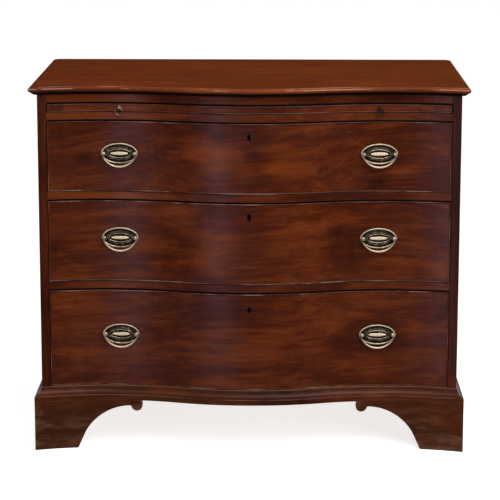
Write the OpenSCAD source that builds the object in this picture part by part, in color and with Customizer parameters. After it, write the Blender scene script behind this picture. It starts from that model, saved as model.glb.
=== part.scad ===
// Serpentine chest of drawers with a brushing slide, in millimetres.
// Origin at the middle of the floor outline, +Z up, the front faces -Y.
// The front plan is three arcs: a bow in the middle and a hollow on each side.

/* [Overall size] */
// Width of the top over its edge moulding
top_w = 1016; // [1008:2:1030]
// Depth of the top over its front moulding
top_d = 586; // [576:2:600]
// Thickness of the top board
top_t = 20; // [18:1:24]
// How far the top stands out past the carcass
top_overhang = 18; // [16:1:20]
// Gap between the back of the carcass and the back edge of the top
back_set_in = 5; // [2:1:10]

/* [Serpentine front] */
// Radius of the bow in the middle
bow_r = 614; // [606:2:622]
// Distance from the middle to the deepest line of each hollow
hollow_x = 329.4; // [327.6:1.8:331.2]
// Depth of the hollow behind the middle of the bow
hollow_depth = 45.75; // [45.5:0.25:46]

/* [Carcass] */
// Thickness of the sides
side_t = 21; // [20:1:24]
// Thickness of every rail and of the bottom board
rail_t = 20; // [19:1:22]
// Height of the top rail above the slide
top_rail_h = 21; // [20:1:24]
// Where the back edge of the rails lies, behind the front of the bow
rail_depth = 95; // [90:1:110]
// Depth of the housings in the sides
housing = 6; // [5:1:8]
// Width of the runners
runner_w = 45; // [40:1:60]
// Thickness of the dust boards
dust_t = 8; // [7:1:9]
// Depth of the grooves that hold the dust boards
dust_groove = 6; // [5:1:7]
// Thickness of the back boards
back_t = 10; // [8:1:12]
// Joint gap between neighbouring boards
board_gap = 0.2; // [0.1:0.1:0.5]

/* [Drawers] */
// Height of the opening of drawer 1
opening_1 = 167; // [160:1:175]
// Height of the opening of drawer 2
opening_2 = 194; // [186:1:202]
// Height of the opening of drawer 3
opening_3 = 233; // [225:1:240]
// Thickness of the drawer fronts
front_t = 22; // [20:1:24]
// Gap above a drawer front
gap_top = 1.5; // [1:0.1:2]
// Gap under a drawer front
gap_bottom = 1; // [0.6:0.1:1.5]
// Gap beside a drawer
gap_side = 0.8; // [0.5:0.1:1.5]
// Thickness of the drawer sides and backs
drawer_board_t = 12; // [10:1:14]
// Thickness of the drawer bottoms
drawer_bottom_t = 8; // [6:1:9]
// Height of the drawer bottom above the lower edge of the sides
bottom_lift = 10; // [8:1:14]
// Depth of the grooves that hold the drawer bottom
bottom_groove = 5; // [4:1:6]
// Gap between the back of a drawer and the back boards
drawer_back_gap = 38; // [20:1:70]
// Length of the dovetails in the front
dovetail_l = 14; // [12:1:14]

/* [Cockbead] */
// Thickness of the bead seen from the front
bead_t = 3; // [2.5:0.1:3.5]
// How far the bead reaches into the front
bead_in = 8; // [6:1:8]
// How far the bead stands out
bead_out = 1.9; // [1.2:0.1:2.2]

/* [Brushing slide] */
// Thickness of the slide
slide_t = 20; // [18:1:20]
// Height of the opening for the slide
slide_opening = 21; // [21:1:23]
// Width of the end clamps
clamp_w = 38; // [30:1:50]
// Gap between the back of the slide and the back boards
slide_back_gap = 83; // [60:1:130]

/* [Base and feet] */
// Height of the bracket feet
foot_h = 117; // [110:1:124]
// Width of a foot at the floor
foot_w = 100; // [90:1:110]
// Length of a front bracket from the corner to its scroll knob
front_reach = 253.5; // [245:0.5:262]
// Length of a side bracket
side_reach = 220; // [215:1:230]
// Radius of the scroll knob
knob_r = 13.5; // [12:0.5:14.5]
// Thickness of the brackets
bracket_t = 22; // [20:1:24]
// How far the base moulding and the feet stand out past the carcass
base_out = 16; // [14:1:17]
// Height of the flat lower band of the base moulding
band_h = 13; // [12:1:15]

/* [Handles] */
// Distance of each handle from the middle
handle_x = 302; // [290:1:315]
// Height of the handle in its opening, as a share of the opening
handle_share = 0.54; // [0.5:0.01:0.6]
// Length of the oval plate
plate_w = 87; // [80:1:90]
// Height of the oval plate
plate_h = 50; // [46:1:54]
// Distance between the two posts of one handle
post_spacing = 72; // [68:1:74]
// Distance of the bail axis from the drawer front
bail_axis = 10.5; // [10:0.5:12]
// Radius of the bail pins
bail_pin_r = 1.5; // [1.3:0.1:1.7]
// Radius of the bail rod
bail_r = 2.2; // [1.8:0.1:2.5]
// Drop of the bail below its axis
bail_drop = 33; // [31:1:35]
// Radial clearance of every pin in its hole
pin_clearance = 0.1; // [0.05:0.01:0.1]

/* [Slide rings] */
// Radius of the ring measured to the middle of its wire
ring_r = 8.6; // [7.5:0.1:9.5]
// Radius of the ring wire
ring_wire_r = 1.3; // [1.1:0.1:1.5]
// Distance of the ring axis from the edge of the slide
ring_axis = 5.5; // [5:0.5:7]

/* [Locks] */
// Width of the lock case
lock_w = 60; // [50:1:70]
// Height of the lock case
lock_h = 46; // [44:1:54]
// Thickness of the lock case
lock_t = 11; // [10:1:12]
// Width of the bolt
bolt_w = 24; // [18:1:28]
// Thickness of the bolt
bolt_t = 6; // [5:1:6]
// Distance from the top of the opening of drawers 1 and 2 to the keyhole
key_drop = 34; // [33:1:38]
// The same distance in drawer 3
key_drop_3 = 40; // [33:1:40]

/* [Hidden] */
$fa = 3;
$fs = 0.7;
half_w = top_w / 2 - top_overhang;
front_y = -top_d / 2 + top_overhang;
back_y = top_d / 2 - back_set_in;
open_x = half_w - side_t;
rail_y = front_y + rail_depth;
board_y = back_y - back_t;
drawer_y = board_y - drawer_back_gap;
slide_back_y = board_y - slide_back_gap;
// plan arcs; the moulded front zone is sweep_d deep, and plain boards run on behind it
sweep_d = 150;
deep = 400;
arc_sum = (hollow_x * hollow_x + hollow_depth * hollow_depth) / (2 * hollow_depth);
hollow_r = arc_sum - bow_r;
bow_c = front_y + bow_r;
hollow_c = front_y + hollow_depth - hollow_r;
turn = atan(hollow_x / (arc_sum - hollow_depth));
low_y = front_y - 60;
sweep_y = front_y + sweep_d;
arc_fn = 360;
// heights, from the floor up
base_z = foot_h + band_h;
floor_z = base_z + rail_t;
opening_h = [opening_1, opening_2, opening_3];
open_z3 = floor_z;
open_z2 = open_z3 + opening_3 + rail_t;
open_z1 = open_z2 + opening_2 + rail_t;
open_z = [open_z1, open_z2, open_z3];
slide_rail_z = open_z1 + opening_1;
slide_z = slide_rail_z + rail_t;
top_rail_z = slide_z + slide_opening;
top_z = top_rail_z + top_rail_h;
// drawers
drawer_x = open_x - gap_side;
inner_x = drawer_x - drawer_board_t;
side_drop = 8;
back_drop = 18;
stop_h = 5;
stop_x = 222;
stop_w = 36;
stop_d = 22;
stop_gap = 0.2;
hole_r = 2.1;
post_r = 2;
nut_r = 6;
nut_t = 4;
lock_front = 13;
bolt_h = 24;
bolt_gap = 0.1;
mortise_gap = 1;
mortise_h = 9;
key_r = 2.6;
key_slot_w = 3.4;
lining_t = 1.6;
lining_depth = 6;
slot_h = 10;
// back brackets of the rear feet, and glue blocks
rear_t = 18;
rear_top_w = 150;
rear_low_w = 90;
block_w = 34;
block_gap = 3;
strip_w = 22;
strip_l = 60;
tilt = asin((hollow_x - handle_x) / hollow_r);

mahogany = [0.40, 0.16, 0.09];
dark_mahogany = [0.33, 0.13, 0.08];
pine = [0.74, 0.58, 0.38];
oak = [0.66, 0.50, 0.32];
brass = [0.78, 0.62, 0.32];
steel = [0.42, 0.40, 0.37];

// Plan curve: y of the surface that stands `out` in front of the carcass face, at x
function plan_y(x, out) =
    abs(x) < (bow_r + out) * sin(turn)
    ? bow_c - sqrt((bow_r + out) * (bow_r + out) - x * x)
    : hollow_c + sqrt(pow(hollow_r - out, 2) - pow(abs(x) - hollow_x, 2));

// x of the line that joins the arc centres, at y
function joint_x(y) = (bow_c - y) * tan(turn);

module both() {
    children();
    mirror([1, 0, 0]) children();
}

// Sweeps an outline of [out, z] points along the three arcs of the front, cut off at y1
module sweep(points, y1 = sweep_y) {
    z0 = min([for (p = points) p[1]]) - 5;
    z1 = max([for (p = points) p[1]]) + 5;
    intersection() {
        translate([0, bow_c, 0])
        rotate_extrude($fn = arc_fn)
        polygon([for (p = points) [max(1, bow_r + p[0]), p[1]]]);
        translate([0, 0, z0])
        linear_extrude(z1 - z0)
        polygon([[-joint_x(low_y), low_y], [joint_x(low_y), low_y], [joint_x(y1), y1],
            [-joint_x(y1), y1]]);
    }
    both()
    intersection() {
        translate([hollow_x, hollow_c, 0])
        rotate_extrude($fn = arc_fn)
        polygon([for (k = [len(points) - 1:-1:0]) [hollow_r - points[k][0], points[k][1]]]);
        translate([0, 0, z0])
        linear_extrude(z1 - z0)
        polygon([[joint_x(low_y), low_y], [half_w + 30, low_y], [half_w + 30, y1],
            [joint_x(y1), y1]]);
    }
}

// Plan area behind the surface at `out`, on the right of the bow, as far as x1 and y1
module plan_right(out, x1, y1) {
    difference() {
        polygon([[joint_x(low_y), low_y], [x1, low_y], [x1, y1], [joint_x(y1), y1]]);
        translate([hollow_x, hollow_c]) circle(r = hollow_r - out, $fn = arc_fn);
    }
}

// A board of that plan over the whole width, from z up by h
module plan_board(out, x1, y1, z, h) {
    translate([0, 0, z])
    linear_extrude(h)
    intersection() {
        translate([0, bow_c]) circle(r = bow_r + out, $fn = arc_fn);
        polygon([[-joint_x(low_y), low_y], [joint_x(low_y), low_y], [joint_x(y1), y1],
            [-joint_x(y1), y1]]);
    }
    both()
    translate([0, 0, z])
    linear_extrude(h)
    plan_right(out, x1, y1);
}

// Plan strip between the surfaces at out1 and out2, right hollow only, from x0 to x1
module strip_right(out1, out2, x0, x1) {
    intersection() {
        difference() {
            translate([hollow_x, hollow_c]) circle(r = hollow_r - out2, $fn = arc_fn);
            translate([hollow_x, hollow_c]) circle(r = hollow_r - out1, $fn = arc_fn);
        }
        translate([x0, low_y]) square([x1 - x0, 200]);
    }
}

// A solid as wide as x0 to x1 and as deep as y0 to y1, for cutting to length
module slab(x0, x1, y0, y1, z0, z1) {
    translate([x0, y0, z0]) cube([x1 - x0, y1 - y0, z1 - z0]);
}

// Everything on the front side of the mitre at the right corner of the base
module mitre_front(z0, z1) {
    ax = half_w;
    ay = plan_y(half_w, 0);
    bx = half_w + base_out;
    by = plan_y(half_w + base_out, base_out);
    k = (by - ay) / (bx - ax);
    translate([0, 0, z0])
    linear_extrude(z1 - z0)
    polygon([[0, low_y], [bx + 20, low_y], [bx + 20, by + 20 * k], [ax - 60, ay - 60 * k],
        [0, ay - 60 * k]]);
}

// Edge outline of the top, as [out, z above the underside]
function top_edge() = [[1.5, 0], [4, 0.7], [7, 2.2], [10, 4.6], [13, 7.4], [15.8, 9.6],
    [17.5, 11.2], [18, 13], [17.8, 15], [16.9, 17], [15.2, 18.6], [12.6, 19.6], [9, 20]];
function top_outline() = [for (p = top_edge())
    [p[0] * top_overhang / 18, top_z + p[1] * top_t / 20]];

module top_board() {
    color(mahogany)
    intersection() {
        union() {
            sweep(concat([[-deep, top_z]], top_outline(), [[-deep, top_z + top_t]]));
            slab(-half_w - 30, half_w + 30, sweep_y, top_d / 2, top_z, top_z + top_t);
        }
        translate([0, top_d / 2, 0])
        rotate([90, 0, 0])
        linear_extrude(top_d + 40)
        polygon(concat([for (p = top_outline()) [half_w + p[0], p[1]]],
            [for (i = [len(top_outline()) - 1:-1:0])
                [-half_w - top_outline()[i][0], top_outline()[i][1]]]));
    }
}

// Right side with its housings and the rebate for the back boards
module side_board() {
    color(mahogany)
    difference() {
        translate([0, 0, base_z])
        linear_extrude(top_z - base_z)
        intersection() {
            plan_right(0, half_w, back_y);
            translate([open_x, low_y]) square([side_t, top_d + 60]);
        }
        for (z = [base_z, open_z2 - rail_t, open_z1 - rail_t, slide_rail_z])
            slab(open_x - 5, open_x + housing, plan_y(open_x, 0) + 12, board_y, z, z + rail_t);
        slab(open_x - 5, open_x + housing, plan_y(open_x, 0) + 12, board_y, top_rail_z,
            top_rail_z + top_rail_h + 1);
        slab(open_x - 5, open_x + back_t, board_y, back_y + 5, base_z - 1, top_z + 1);
    }
}

// A board with the serpentine front edge and a tongue at each end
module rail_board(z, h, y1) {
    plan_board(0, open_x, y1, z, h);
    both() slab(open_x - 1, open_x + housing, plan_y(open_x, 0) + 12, y1, z, z + h);
}

module dust_groove_cut(z) {
    slab(-open_x + runner_w - dust_groove, open_x - runner_w + dust_groove,
        rail_y - dust_groove, rail_y + 5, z + (rail_t - dust_t) / 2, z + (rail_t + dust_t) / 2);
}

module bolt_mortise(z) {
    slab(-bolt_w / 2 - mortise_gap, bolt_w / 2 + mortise_gap,
        front_y + lock_front + 2 - mortise_gap, front_y + lock_front + 2 + bolt_t + mortise_gap,
        z - 1, z + mortise_h);
}

module dividing_rail(z) {
    color(mahogany)
    difference() {
        rail_board(z, rail_t, rail_y);
        dust_groove_cut(z);
        bolt_mortise(z);
    }
}

module slide_rail() dividing_rail(slide_rail_z);
module rail_1_2() dividing_rail(open_z1 - rail_t);
module rail_2_3() dividing_rail(open_z2 - rail_t);

module top_rail() {
    color(mahogany) rail_board(top_rail_z, top_rail_h, rail_y);
}

module bottom_board() {
    color(pine) rail_board(base_z, rail_t, board_y);
}

module dust_boards() {
    color(pine)
    for (z = [open_z2 - rail_t, open_z1 - rail_t, slide_rail_z])
        slab(-open_x + runner_w - dust_groove, open_x - runner_w + dust_groove,
            rail_y - dust_groove, board_y, z + (rail_t - dust_t) / 2, z + (rail_t + dust_t) / 2);
}

module runners() {
    color(oak)
    both() {
        for (z = [open_z2 - rail_t, open_z1 - rail_t, slide_rail_z])
            difference() {
                slab(open_x - runner_w, open_x + housing, rail_y, board_y, z, z + rail_t);
                slab(open_x - runner_w - 5, open_x - runner_w + dust_groove, rail_y - 5,
                    board_y + 5, z + (rail_t - dust_t) / 2, z + (rail_t + dust_t) / 2);
            }
        slab(open_x - runner_w, open_x + housing, rail_y, board_y, top_rail_z,
            top_rail_z + top_rail_h);
    }
}

// Two stops behind each drawer front and two behind the slide
module stops() {
    color(oak)
    both() {
        for (z = open_z)
            slab(stop_x, stop_x + stop_w, plan_y(stop_x + stop_w, -front_t) + stop_gap,
                plan_y(stop_x + stop_w, -front_t) + stop_d, z, z + stop_h);
        slab(open_x - stop_w, open_x - stop_w / 3, slide_back_y + stop_gap,
            slide_back_y + stop_d, slide_z, slide_z + slide_t * 0.6);
    }
}

module back_boards() {
    n = 4;
    w = 2 * (open_x + back_t) / n;
    color(pine)
    for (i = [0:n - 1])
        slab(-open_x - back_t + i * w + board_gap / 2, -open_x - back_t + (i + 1) * w
            - board_gap / 2, board_y, back_y, base_z, top_z);
}

// Section of the base moulding: flat band, small fillet, cove, and a foot under the carcass
function base_section() = let (t = floor_z - base_z)
    [[-40, foot_h], [base_out, foot_h], [base_out, base_z - 0.6], [base_out - 0.6, base_z],
    [base_out - 1.6, base_z], [base_out - 1.9, base_z + 1.2], [base_out - 5.4, base_z + 2.6],
    [base_out - 8.6, base_z + 5], [base_out - 11.2, base_z + 8.4],
    [base_out - 13, base_z + 12.6], [base_out - 13.8, base_z + 16.6],
    [base_out - 13.9, base_z + 18.2], [1.4, base_z + t - 0.8], [0.8, base_z + t],
    [0, base_z + t], [0, base_z], [-40, base_z]];

module base_moulding_front() {
    color(dark_mahogany)
    intersection() {
        sweep(base_section());
        both() mitre_front(foot_h - 1, floor_z + 1);
    }
}

module base_moulding_sides() {
    color(dark_mahogany)
    both()
    difference() {
        translate([0, back_y, 0])
        rotate([90, 0, 0])
        linear_extrude(back_y - low_y)
        polygon([for (p = base_section()) [half_w + p[0], p[1]]]);
        mitre_front(foot_h - 1, floor_z + 1);
    }
}

// Side view of one bracket: the corner is at u = 0 and the knob at u = reach
module bracket_outline(reach) {
    knob_u = reach - knob_r;
    knob_z = foot_h - 12;
    arc_top = foot_h - 13.2;
    heel_u = foot_w + 19;
    heel_z = 41.7;
    run = knob_u - 11.5 - heel_u;
    rise = arc_top - heel_z;
    r = (rise * rise + run * run) / (2 * rise);
    difference() {
        polygon([[0, 0], [foot_w, 0], [heel_u, heel_z], [reach - 4, heel_z],
            [reach - 4, foot_h], [0, foot_h]]);
        intersection() {
            translate([heel_u + run, arc_top - r]) circle(r = r);
            translate([heel_u - 10, heel_z - 5]) square([reach, foot_h]);
        }
    }
    intersection() {
        translate([knob_u, knob_z]) circle(r = knob_r);
        translate([knob_u - knob_r, 0]) square([2 * knob_r, foot_h]);
    }
}

module front_bracket() {
    out_x = half_w + base_out;
    intersection() {
        linear_extrude(foot_h)
        strip_right(base_out, base_out - bracket_t, 180, out_x);
        translate([out_x, low_y + 250, 0])
        mirror([1, 0, 0])
        rotate([90, 0, 0])
        linear_extrude(250)
        bracket_outline(front_reach);
        mitre_front(-1, foot_h + 1);
    }
}

// Side bracket with its corner at y = 0, reaching back
module side_bracket() {
    translate([half_w + base_out - bracket_t, 0, 0])
    rotate([90, 0, 90])
    linear_extrude(bracket_t)
    bracket_outline(side_reach);
}

module front_foot() {
    corner_y = plan_y(half_w + base_out, base_out);
    front_bracket();
    difference() {
        translate([0, corner_y, 0]) side_bracket();
        translate([0, board_gap, 0]) mitre_front(-1, foot_h + 1);
    }
}

module rear_foot() {
    out_x = half_w + base_out;
    translate([0, back_y, 0]) mirror([0, 1, 0]) side_bracket();
    translate([0, back_y, 0])
    rotate([90, 0, 0])
    linear_extrude(rear_t)
    polygon([[out_x - bracket_t - board_gap, 0], [out_x - bracket_t - board_gap, foot_h],
        [out_x - rear_top_w, foot_h], [out_x - rear_low_w, 0]]);
}

module foot_front_right() { color(dark_mahogany) front_foot(); }
module foot_front_left() { color(dark_mahogany) mirror([1, 0, 0]) front_foot(); }
module foot_rear_right() { color(dark_mahogany) rear_foot(); }
module foot_rear_left() { color(dark_mahogany) mirror([1, 0, 0]) rear_foot(); }

module glue_blocks() {
    in_x = half_w + base_out - bracket_t;
    color(pine)
    both() {
        translate([0, 0, block_gap])
        linear_extrude(foot_h - block_gap)
        intersection() {
            plan_right(base_out - bracket_t - 0.1, in_x,
                plan_y(in_x - block_w, base_out - bracket_t) + block_w - 2);
            translate([in_x - block_w, low_y]) square([block_w, 200]);
        }
        slab(in_x - block_w, in_x, back_y - rear_t - block_w, back_y - rear_t, block_gap,
            foot_h);
        for (y = [front_y + 145, back_y - 168])
            slab(in_x - strip_w, in_x, y, y + strip_l, foot_h - strip_w, foot_h);
    }
}

// Edge of the slide: a bead above and below a shallow flat
function slide_section() = let (z = slide_z, t = slide_t)
    [[-deep, z], [-0.8, z], [-0.2, z + 0.4], [0, z + 1.2], [-0.3, z + 2.2], [-1, z + 2.7],
    [-1, z + t - 2.7], [-0.3, z + t - 2.2], [0, z + t - 1.2], [-0.2, z + t - 0.4],
    [-0.8, z + t], [-deep, z + t]];

module slide_blank(x0, x1) {
    intersection() {
        union() {
            sweep(slide_section());
            slab(-half_w, half_w, sweep_y, slide_back_y, slide_z, slide_z + slide_t);
        }
        slab(x0, x1, low_y, slide_back_y, slide_z - 1, slide_z + slide_t + 1);
    }
}

module slide_board() {
    color(mahogany)
    difference() {
        slide_blank(-drawer_x + clamp_w, drawer_x - clamp_w);
        both() at_handle(slide_z + slide_t / 2) rotate([-90, 0, 0]) translate([0, 0, -2])
            cylinder(r = post_r, h = 24);
    }
}

module slide_clamps() {
    color(mahogany)
    both() slide_blank(drawer_x - clamp_w, drawer_x);
}

// Puts its children on the front surface at a handle, with -Y pointing out of the wood
module at_handle(z) {
    translate([handle_x, plan_y(handle_x, 0), z]) rotate([0, 0, tilt]) children();
}

// A rod along X
module rod(x0, x1, r) {
    translate([x0, 0, 0]) rotate([0, 90, 0]) cylinder(r = r, h = x1 - x0);
}

// A turned bead on the X axis with a hole along it, seated on a stem
module eye(hole, r) {
    w = r * 0.85;
    rotate([0, 90, 0])
    rotate_extrude()
    polygon([[hole, -w], [r * 0.62, -w], [r * 0.86, -w * 0.72], [r, -w * 0.25],
        [r, w * 0.25], [r * 0.86, w * 0.72], [r * 0.62, w], [hole, w]]);
}

// A round stem along Y, from y0 to y1
module stem(r, y0, y1) {
    translate([0, y1, 0]) rotate([90, 0, 0]) cylinder(r = r, h = y1 - y0);
}

module ring_post() {
    stem(post_r, -ring_axis + 2.8, 20);
    stem(5, -1.1, 0.9);
    translate([0, -ring_axis, 0]) eye(ring_wire_r + 0.8, 3.9);
}

module slide_ring_posts() {
    color(brass) both() at_handle(slide_z + slide_t / 2) ring_post();
}

module ring() {
    translate([0, -ring_axis, -ring_r])
    rotate([90, 0, 0])
    rotate_extrude()
    translate([ring_r, 0]) circle(r = ring_wire_r);
}

module slide_ring_right() { color(brass) at_handle(slide_z + slide_t / 2) ring(); }
module slide_ring_left() { color(brass) mirror([1, 0, 0]) at_handle(slide_z + slide_t / 2) ring(); }

function front_z0(i) = open_z[i] + gap_bottom;
function front_z1(i) = open_z[i] + opening_h[i] - gap_top;
function side_z1(i) = open_z[i] + opening_h[i] - side_drop;
function handle_z(i) = open_z[i] + handle_share * opening_h[i];
function key_z(i) = open_z[i] + opening_h[i] - (i == 2 ? key_drop_3 : key_drop);
function tails(i) = 4 + i;

// Dovetails seen from the side: wide at the end at y1, narrow at the shoulder at y0
module tail_set(i, y0, y1) {
    s = y1 > y0 ? 1 : -1;
    n = tails(i);
    z0 = open_z[i] + bottom_lift + drawer_bottom_t + 4;
    z1 = side_z1(i) - 4;
    pitch = (z1 - z0) / n;
    for (k = [0:n - 1])
        translate([0, 0, z0 + (k + 0.5) * pitch])
        polygon_along_x([[y0, -s * pitch * 0.3], [y1, -s * pitch * 0.41],
            [y1, s * pitch * 0.41], [y0, s * pitch * 0.3]]);
}

// Extrudes a [y, z] outline over the thickness of a drawer side
module polygon_along_x(points) {
    translate([inner_x, 0, 0])
    rotate([90, 0, 90])
    linear_extrude(drawer_board_t)
    polygon(points);
}

// Tails of one side into the front, as far as the back of the bead
module front_tails(i) {
    intersection() {
        tail_set(i, plan_y(inner_x, -front_t) + 4, plan_y(drawer_x, -bead_in) - 4);
        translate([0, 0, open_z[i]])
        linear_extrude(opening_h[i])
        strip_right(-front_t + dovetail_l, -front_t - 1, inner_x, drawer_x);
    }
}

module back_tails(i) {
    tail_set(i, drawer_y - drawer_board_t, drawer_y);
}

module drawer_side(i) {
    difference() {
        union() {
            translate([0, 0, open_z[i]])
            linear_extrude(side_z1(i) - open_z[i])
            intersection() {
                plan_right(-front_t, drawer_x, drawer_y - drawer_board_t);
                translate([inner_x, low_y]) square([drawer_board_t, top_d + 60]);
            }
            front_tails(i);
            back_tails(i);
        }
        slab(inner_x - 5, inner_x + bottom_groove, low_y, drawer_y + 5, open_z[i] + bottom_lift,
            open_z[i] + bottom_lift + drawer_bottom_t);
    }
}

module drawer_sides(i) {
    color(oak) both() drawer_side(i);
}

module drawer_back(i) {
    color(oak)
    difference() {
        slab(-drawer_x, drawer_x, drawer_y - drawer_board_t, drawer_y,
            open_z[i] + bottom_lift + drawer_bottom_t, open_z[i] + opening_h[i] - back_drop);
        both() back_tails(i);
    }
}

module drawer_bottom(i) {
    color(pine)
    plan_board(-front_t + bottom_groove, inner_x + bottom_groove, drawer_y,
        open_z[i] + bottom_lift, drawer_bottom_t);
}

// Keyhole seen from the front: a round hole over a slot
module keyhole(i, grow, y0, y1) {
    translate([0, y1, key_z(i)])
    rotate([90, 0, 0])
    linear_extrude(y1 - y0) {
        translate([0, 4]) circle(r = key_r + grow);
        translate([-key_slot_w / 2 - grow, 4 - slot_h - grow])
            square([key_slot_w + 2 * grow, slot_h + grow]);
    }
}

module handle_holes(i) {
    both() at_handle(handle_z(i)) for (s = [-1, 1])
        translate([s * post_spacing / 2, 40, 0]) rotate([90, 0, 0]) cylinder(r = hole_r, h = 50);
}

module drawer_front(i) {
    z0 = front_z0(i);
    z1 = front_z1(i);
    color(mahogany)
    difference() {
        intersection() {
            sweep([[-front_t, z0], [-bead_in, z0], [-bead_in, z0 + bead_t], [0, z0 + bead_t],
                [0, z1 - bead_t], [-bead_in, z1 - bead_t], [-bead_in, z1], [-front_t, z1]]);
            slab(-drawer_x, drawer_x, low_y, 0, z0 - 5, z1 + 5);
        }
        both()
        translate([0, 0, z0 - 5])
        linear_extrude(z1 - z0 + 10)
        strip_right(5, -bead_in, drawer_x - bead_t, drawer_x + 5);
        both() front_tails(i);
        plan_board(-front_t + bottom_groove, inner_x + bottom_groove, front_y + 120,
            open_z[i] + bottom_lift, drawer_bottom_t);
        slab(-lock_w / 2, lock_w / 2, front_y + lock_front, front_y + 40, z1 - lock_h, z1 + 5);
        keyhole(i, 0, front_y - 5, front_y + 40);
        keyhole(i, lining_t, front_y - 5, front_y + lining_depth);
        handle_holes(i);
    }
}

module cockbead(i) {
    z0 = front_z0(i);
    z1 = front_z1(i);
    m = board_gap / 2;
    color(dark_mahogany) {
        for (z = [z0, z1 - bead_t])
            intersection() {
                sweep([[-bead_in, z], [bead_out * 0.4, z], [bead_out * 0.85, z + bead_t * 0.22],
                    [bead_out, z + bead_t * 0.5], [bead_out * 0.85, z + bead_t * 0.78],
                    [bead_out * 0.4, z + bead_t], [-bead_in, z + bead_t]]);
                slab(-drawer_x, drawer_x, low_y, 0, z - 5, z + bead_t + 5);
            }
        both()
        translate([0, 0, z0 + bead_t + m])
        linear_extrude(z1 - z0 - 2 * bead_t - 2 * m)
        polygon([for (p = [[1, -bead_in], [1, bead_out * 0.4], [0.78, bead_out * 0.85],
            [0.5, bead_out], [0.22, bead_out * 0.85], [0, bead_out * 0.4], [0, -bead_in]])
            [drawer_x - p[0] * bead_t, plan_y(drawer_x - p[0] * bead_t, p[1])]]);
    }
}

module lock_case(i) {
    z1 = front_z1(i);
    y0 = front_y + lock_front;
    color(steel)
    difference() {
        slab(-lock_w / 2, lock_w / 2, y0, y0 + lock_t, z1 - lock_h, z1);
        slab(-bolt_w / 2 - bolt_gap, bolt_w / 2 + bolt_gap, y0 + 2 - bolt_gap,
            y0 + 2 + bolt_t + bolt_gap, z1 - bolt_h, z1 + 5);
        keyhole(i, 0, y0 - 5, y0 + lock_t - 2);
    }
}

module lock_bolt(i) {
    z1 = front_z1(i);
    color(brass)
    slab(-bolt_w / 2, bolt_w / 2, front_y + lock_front + 2, front_y + lock_front + 2 + bolt_t,
        z1 - bolt_h, z1 - 0.2);
}

module keyhole_lining(i) {
    color(brass)
    difference() {
        intersection() {
            keyhole(i, lining_t, front_y - 5, front_y + lining_depth);
            translate([0, bow_c, 0]) cylinder(r = bow_r + 0.2, h = top_z, $fn = arc_fn);
        }
        keyhole(i, 0, front_y - 6, front_y + lining_depth + 1);
    }
}

function oval(w, h, n = 40) = [for (k = [0:n - 1]) [w / 2 * cos(k * 360 / n),
    h / 2 * sin(k * 360 / n)]];

// Stamped plate as oval rings from the rim to the boss: [length, height, lift of the front]
plate_rings = [[1, 1, 2.6], [0.985, 0.975, 3.9], [0.93, 0.89, 3], [0.87, 0.78, 3.5],
    [0.83, 0.71, 2.9], [0.70, 0.52, 3.3], [0.62, 0.42, 4.4], [0.57, 0.35, 3.2],
    [0.48, 0.22, 4.2], [0.42, 0.15, 5.2], [0.30, 0.08, 5.8]];
function plate_lift(k) = plate_rings[k][2];

module plate() {
    back = 1.65;
    n = len(plate_rings);
    difference() {
        union() {
            for (k = [0:n - 1])
                rotate([90, 0, 0])
                translate([0, 0, back])
                linear_extrude(plate_lift(k) - back)
                difference() {
                    polygon(oval(plate_w * plate_rings[k][0], plate_h * plate_rings[k][1]));
                    if (k < n - 1)
                        polygon(oval(plate_w * plate_rings[k + 1][0],
                            plate_h * plate_rings[k + 1][1]));
                }
        }
        for (s = [-1, 1]) translate([s * post_spacing / 2, 0, 0]) stem(hole_r, -10, 5);
    }
}

module handle_plates(i) {
    color(brass) both() at_handle(handle_z(i)) plate();
}

module post() {
    nut_y = front_t - 0.55;
    stem(post_r, -bail_axis + 2.4, front_t + 7);
    stem(3.4, -5.4, -plate_lift(3));
    translate([0, -bail_axis, 0]) eye(bail_pin_r + pin_clearance, 4.4);
    translate([0, nut_y + nut_t, 0])
    rotate([90, 0, 0])
    difference() {
        cylinder(r = nut_r, h = nut_t);
        translate([0, 0, -1]) cylinder(r = post_r + 0.05, h = nut_t + 2);
    }
}

module handle_posts(i) {
    color(brass) both() at_handle(handle_z(i)) for (s = [-1, 1])
        translate([s * post_spacing / 2, 0, 0]) post();
}

// Swing handle: one arc of rod between two knuckles, with a pin into each post
module bail() {
    end_x = post_spacing / 2 + 8.5;
    r = (end_x * end_x + bail_drop * bail_drop) / (2 * bail_drop);
    rise = r - bail_drop;
    sweep_angle = 180 - 2 * asin(rise / r);
    translate([0, -bail_axis, 0]) {
        both() {
            rod(post_spacing / 2 - 3, end_x, bail_pin_r);
            translate([end_x, 0, 0]) sphere(r = bail_r + 0.5);
        }
        translate([0, 0, rise])
        rotate([90, 0, 0])
        rotate([0, 0, 270 - sweep_angle / 2])
        rotate_extrude(angle = sweep_angle, $fn = 180)
        translate([r, 0]) circle(r = bail_r);
    }
}

module bail_right(i) { color(brass) at_handle(handle_z(i)) bail(); }
module bail_left(i) { color(brass) mirror([1, 0, 0]) at_handle(handle_z(i)) bail(); }

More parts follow.
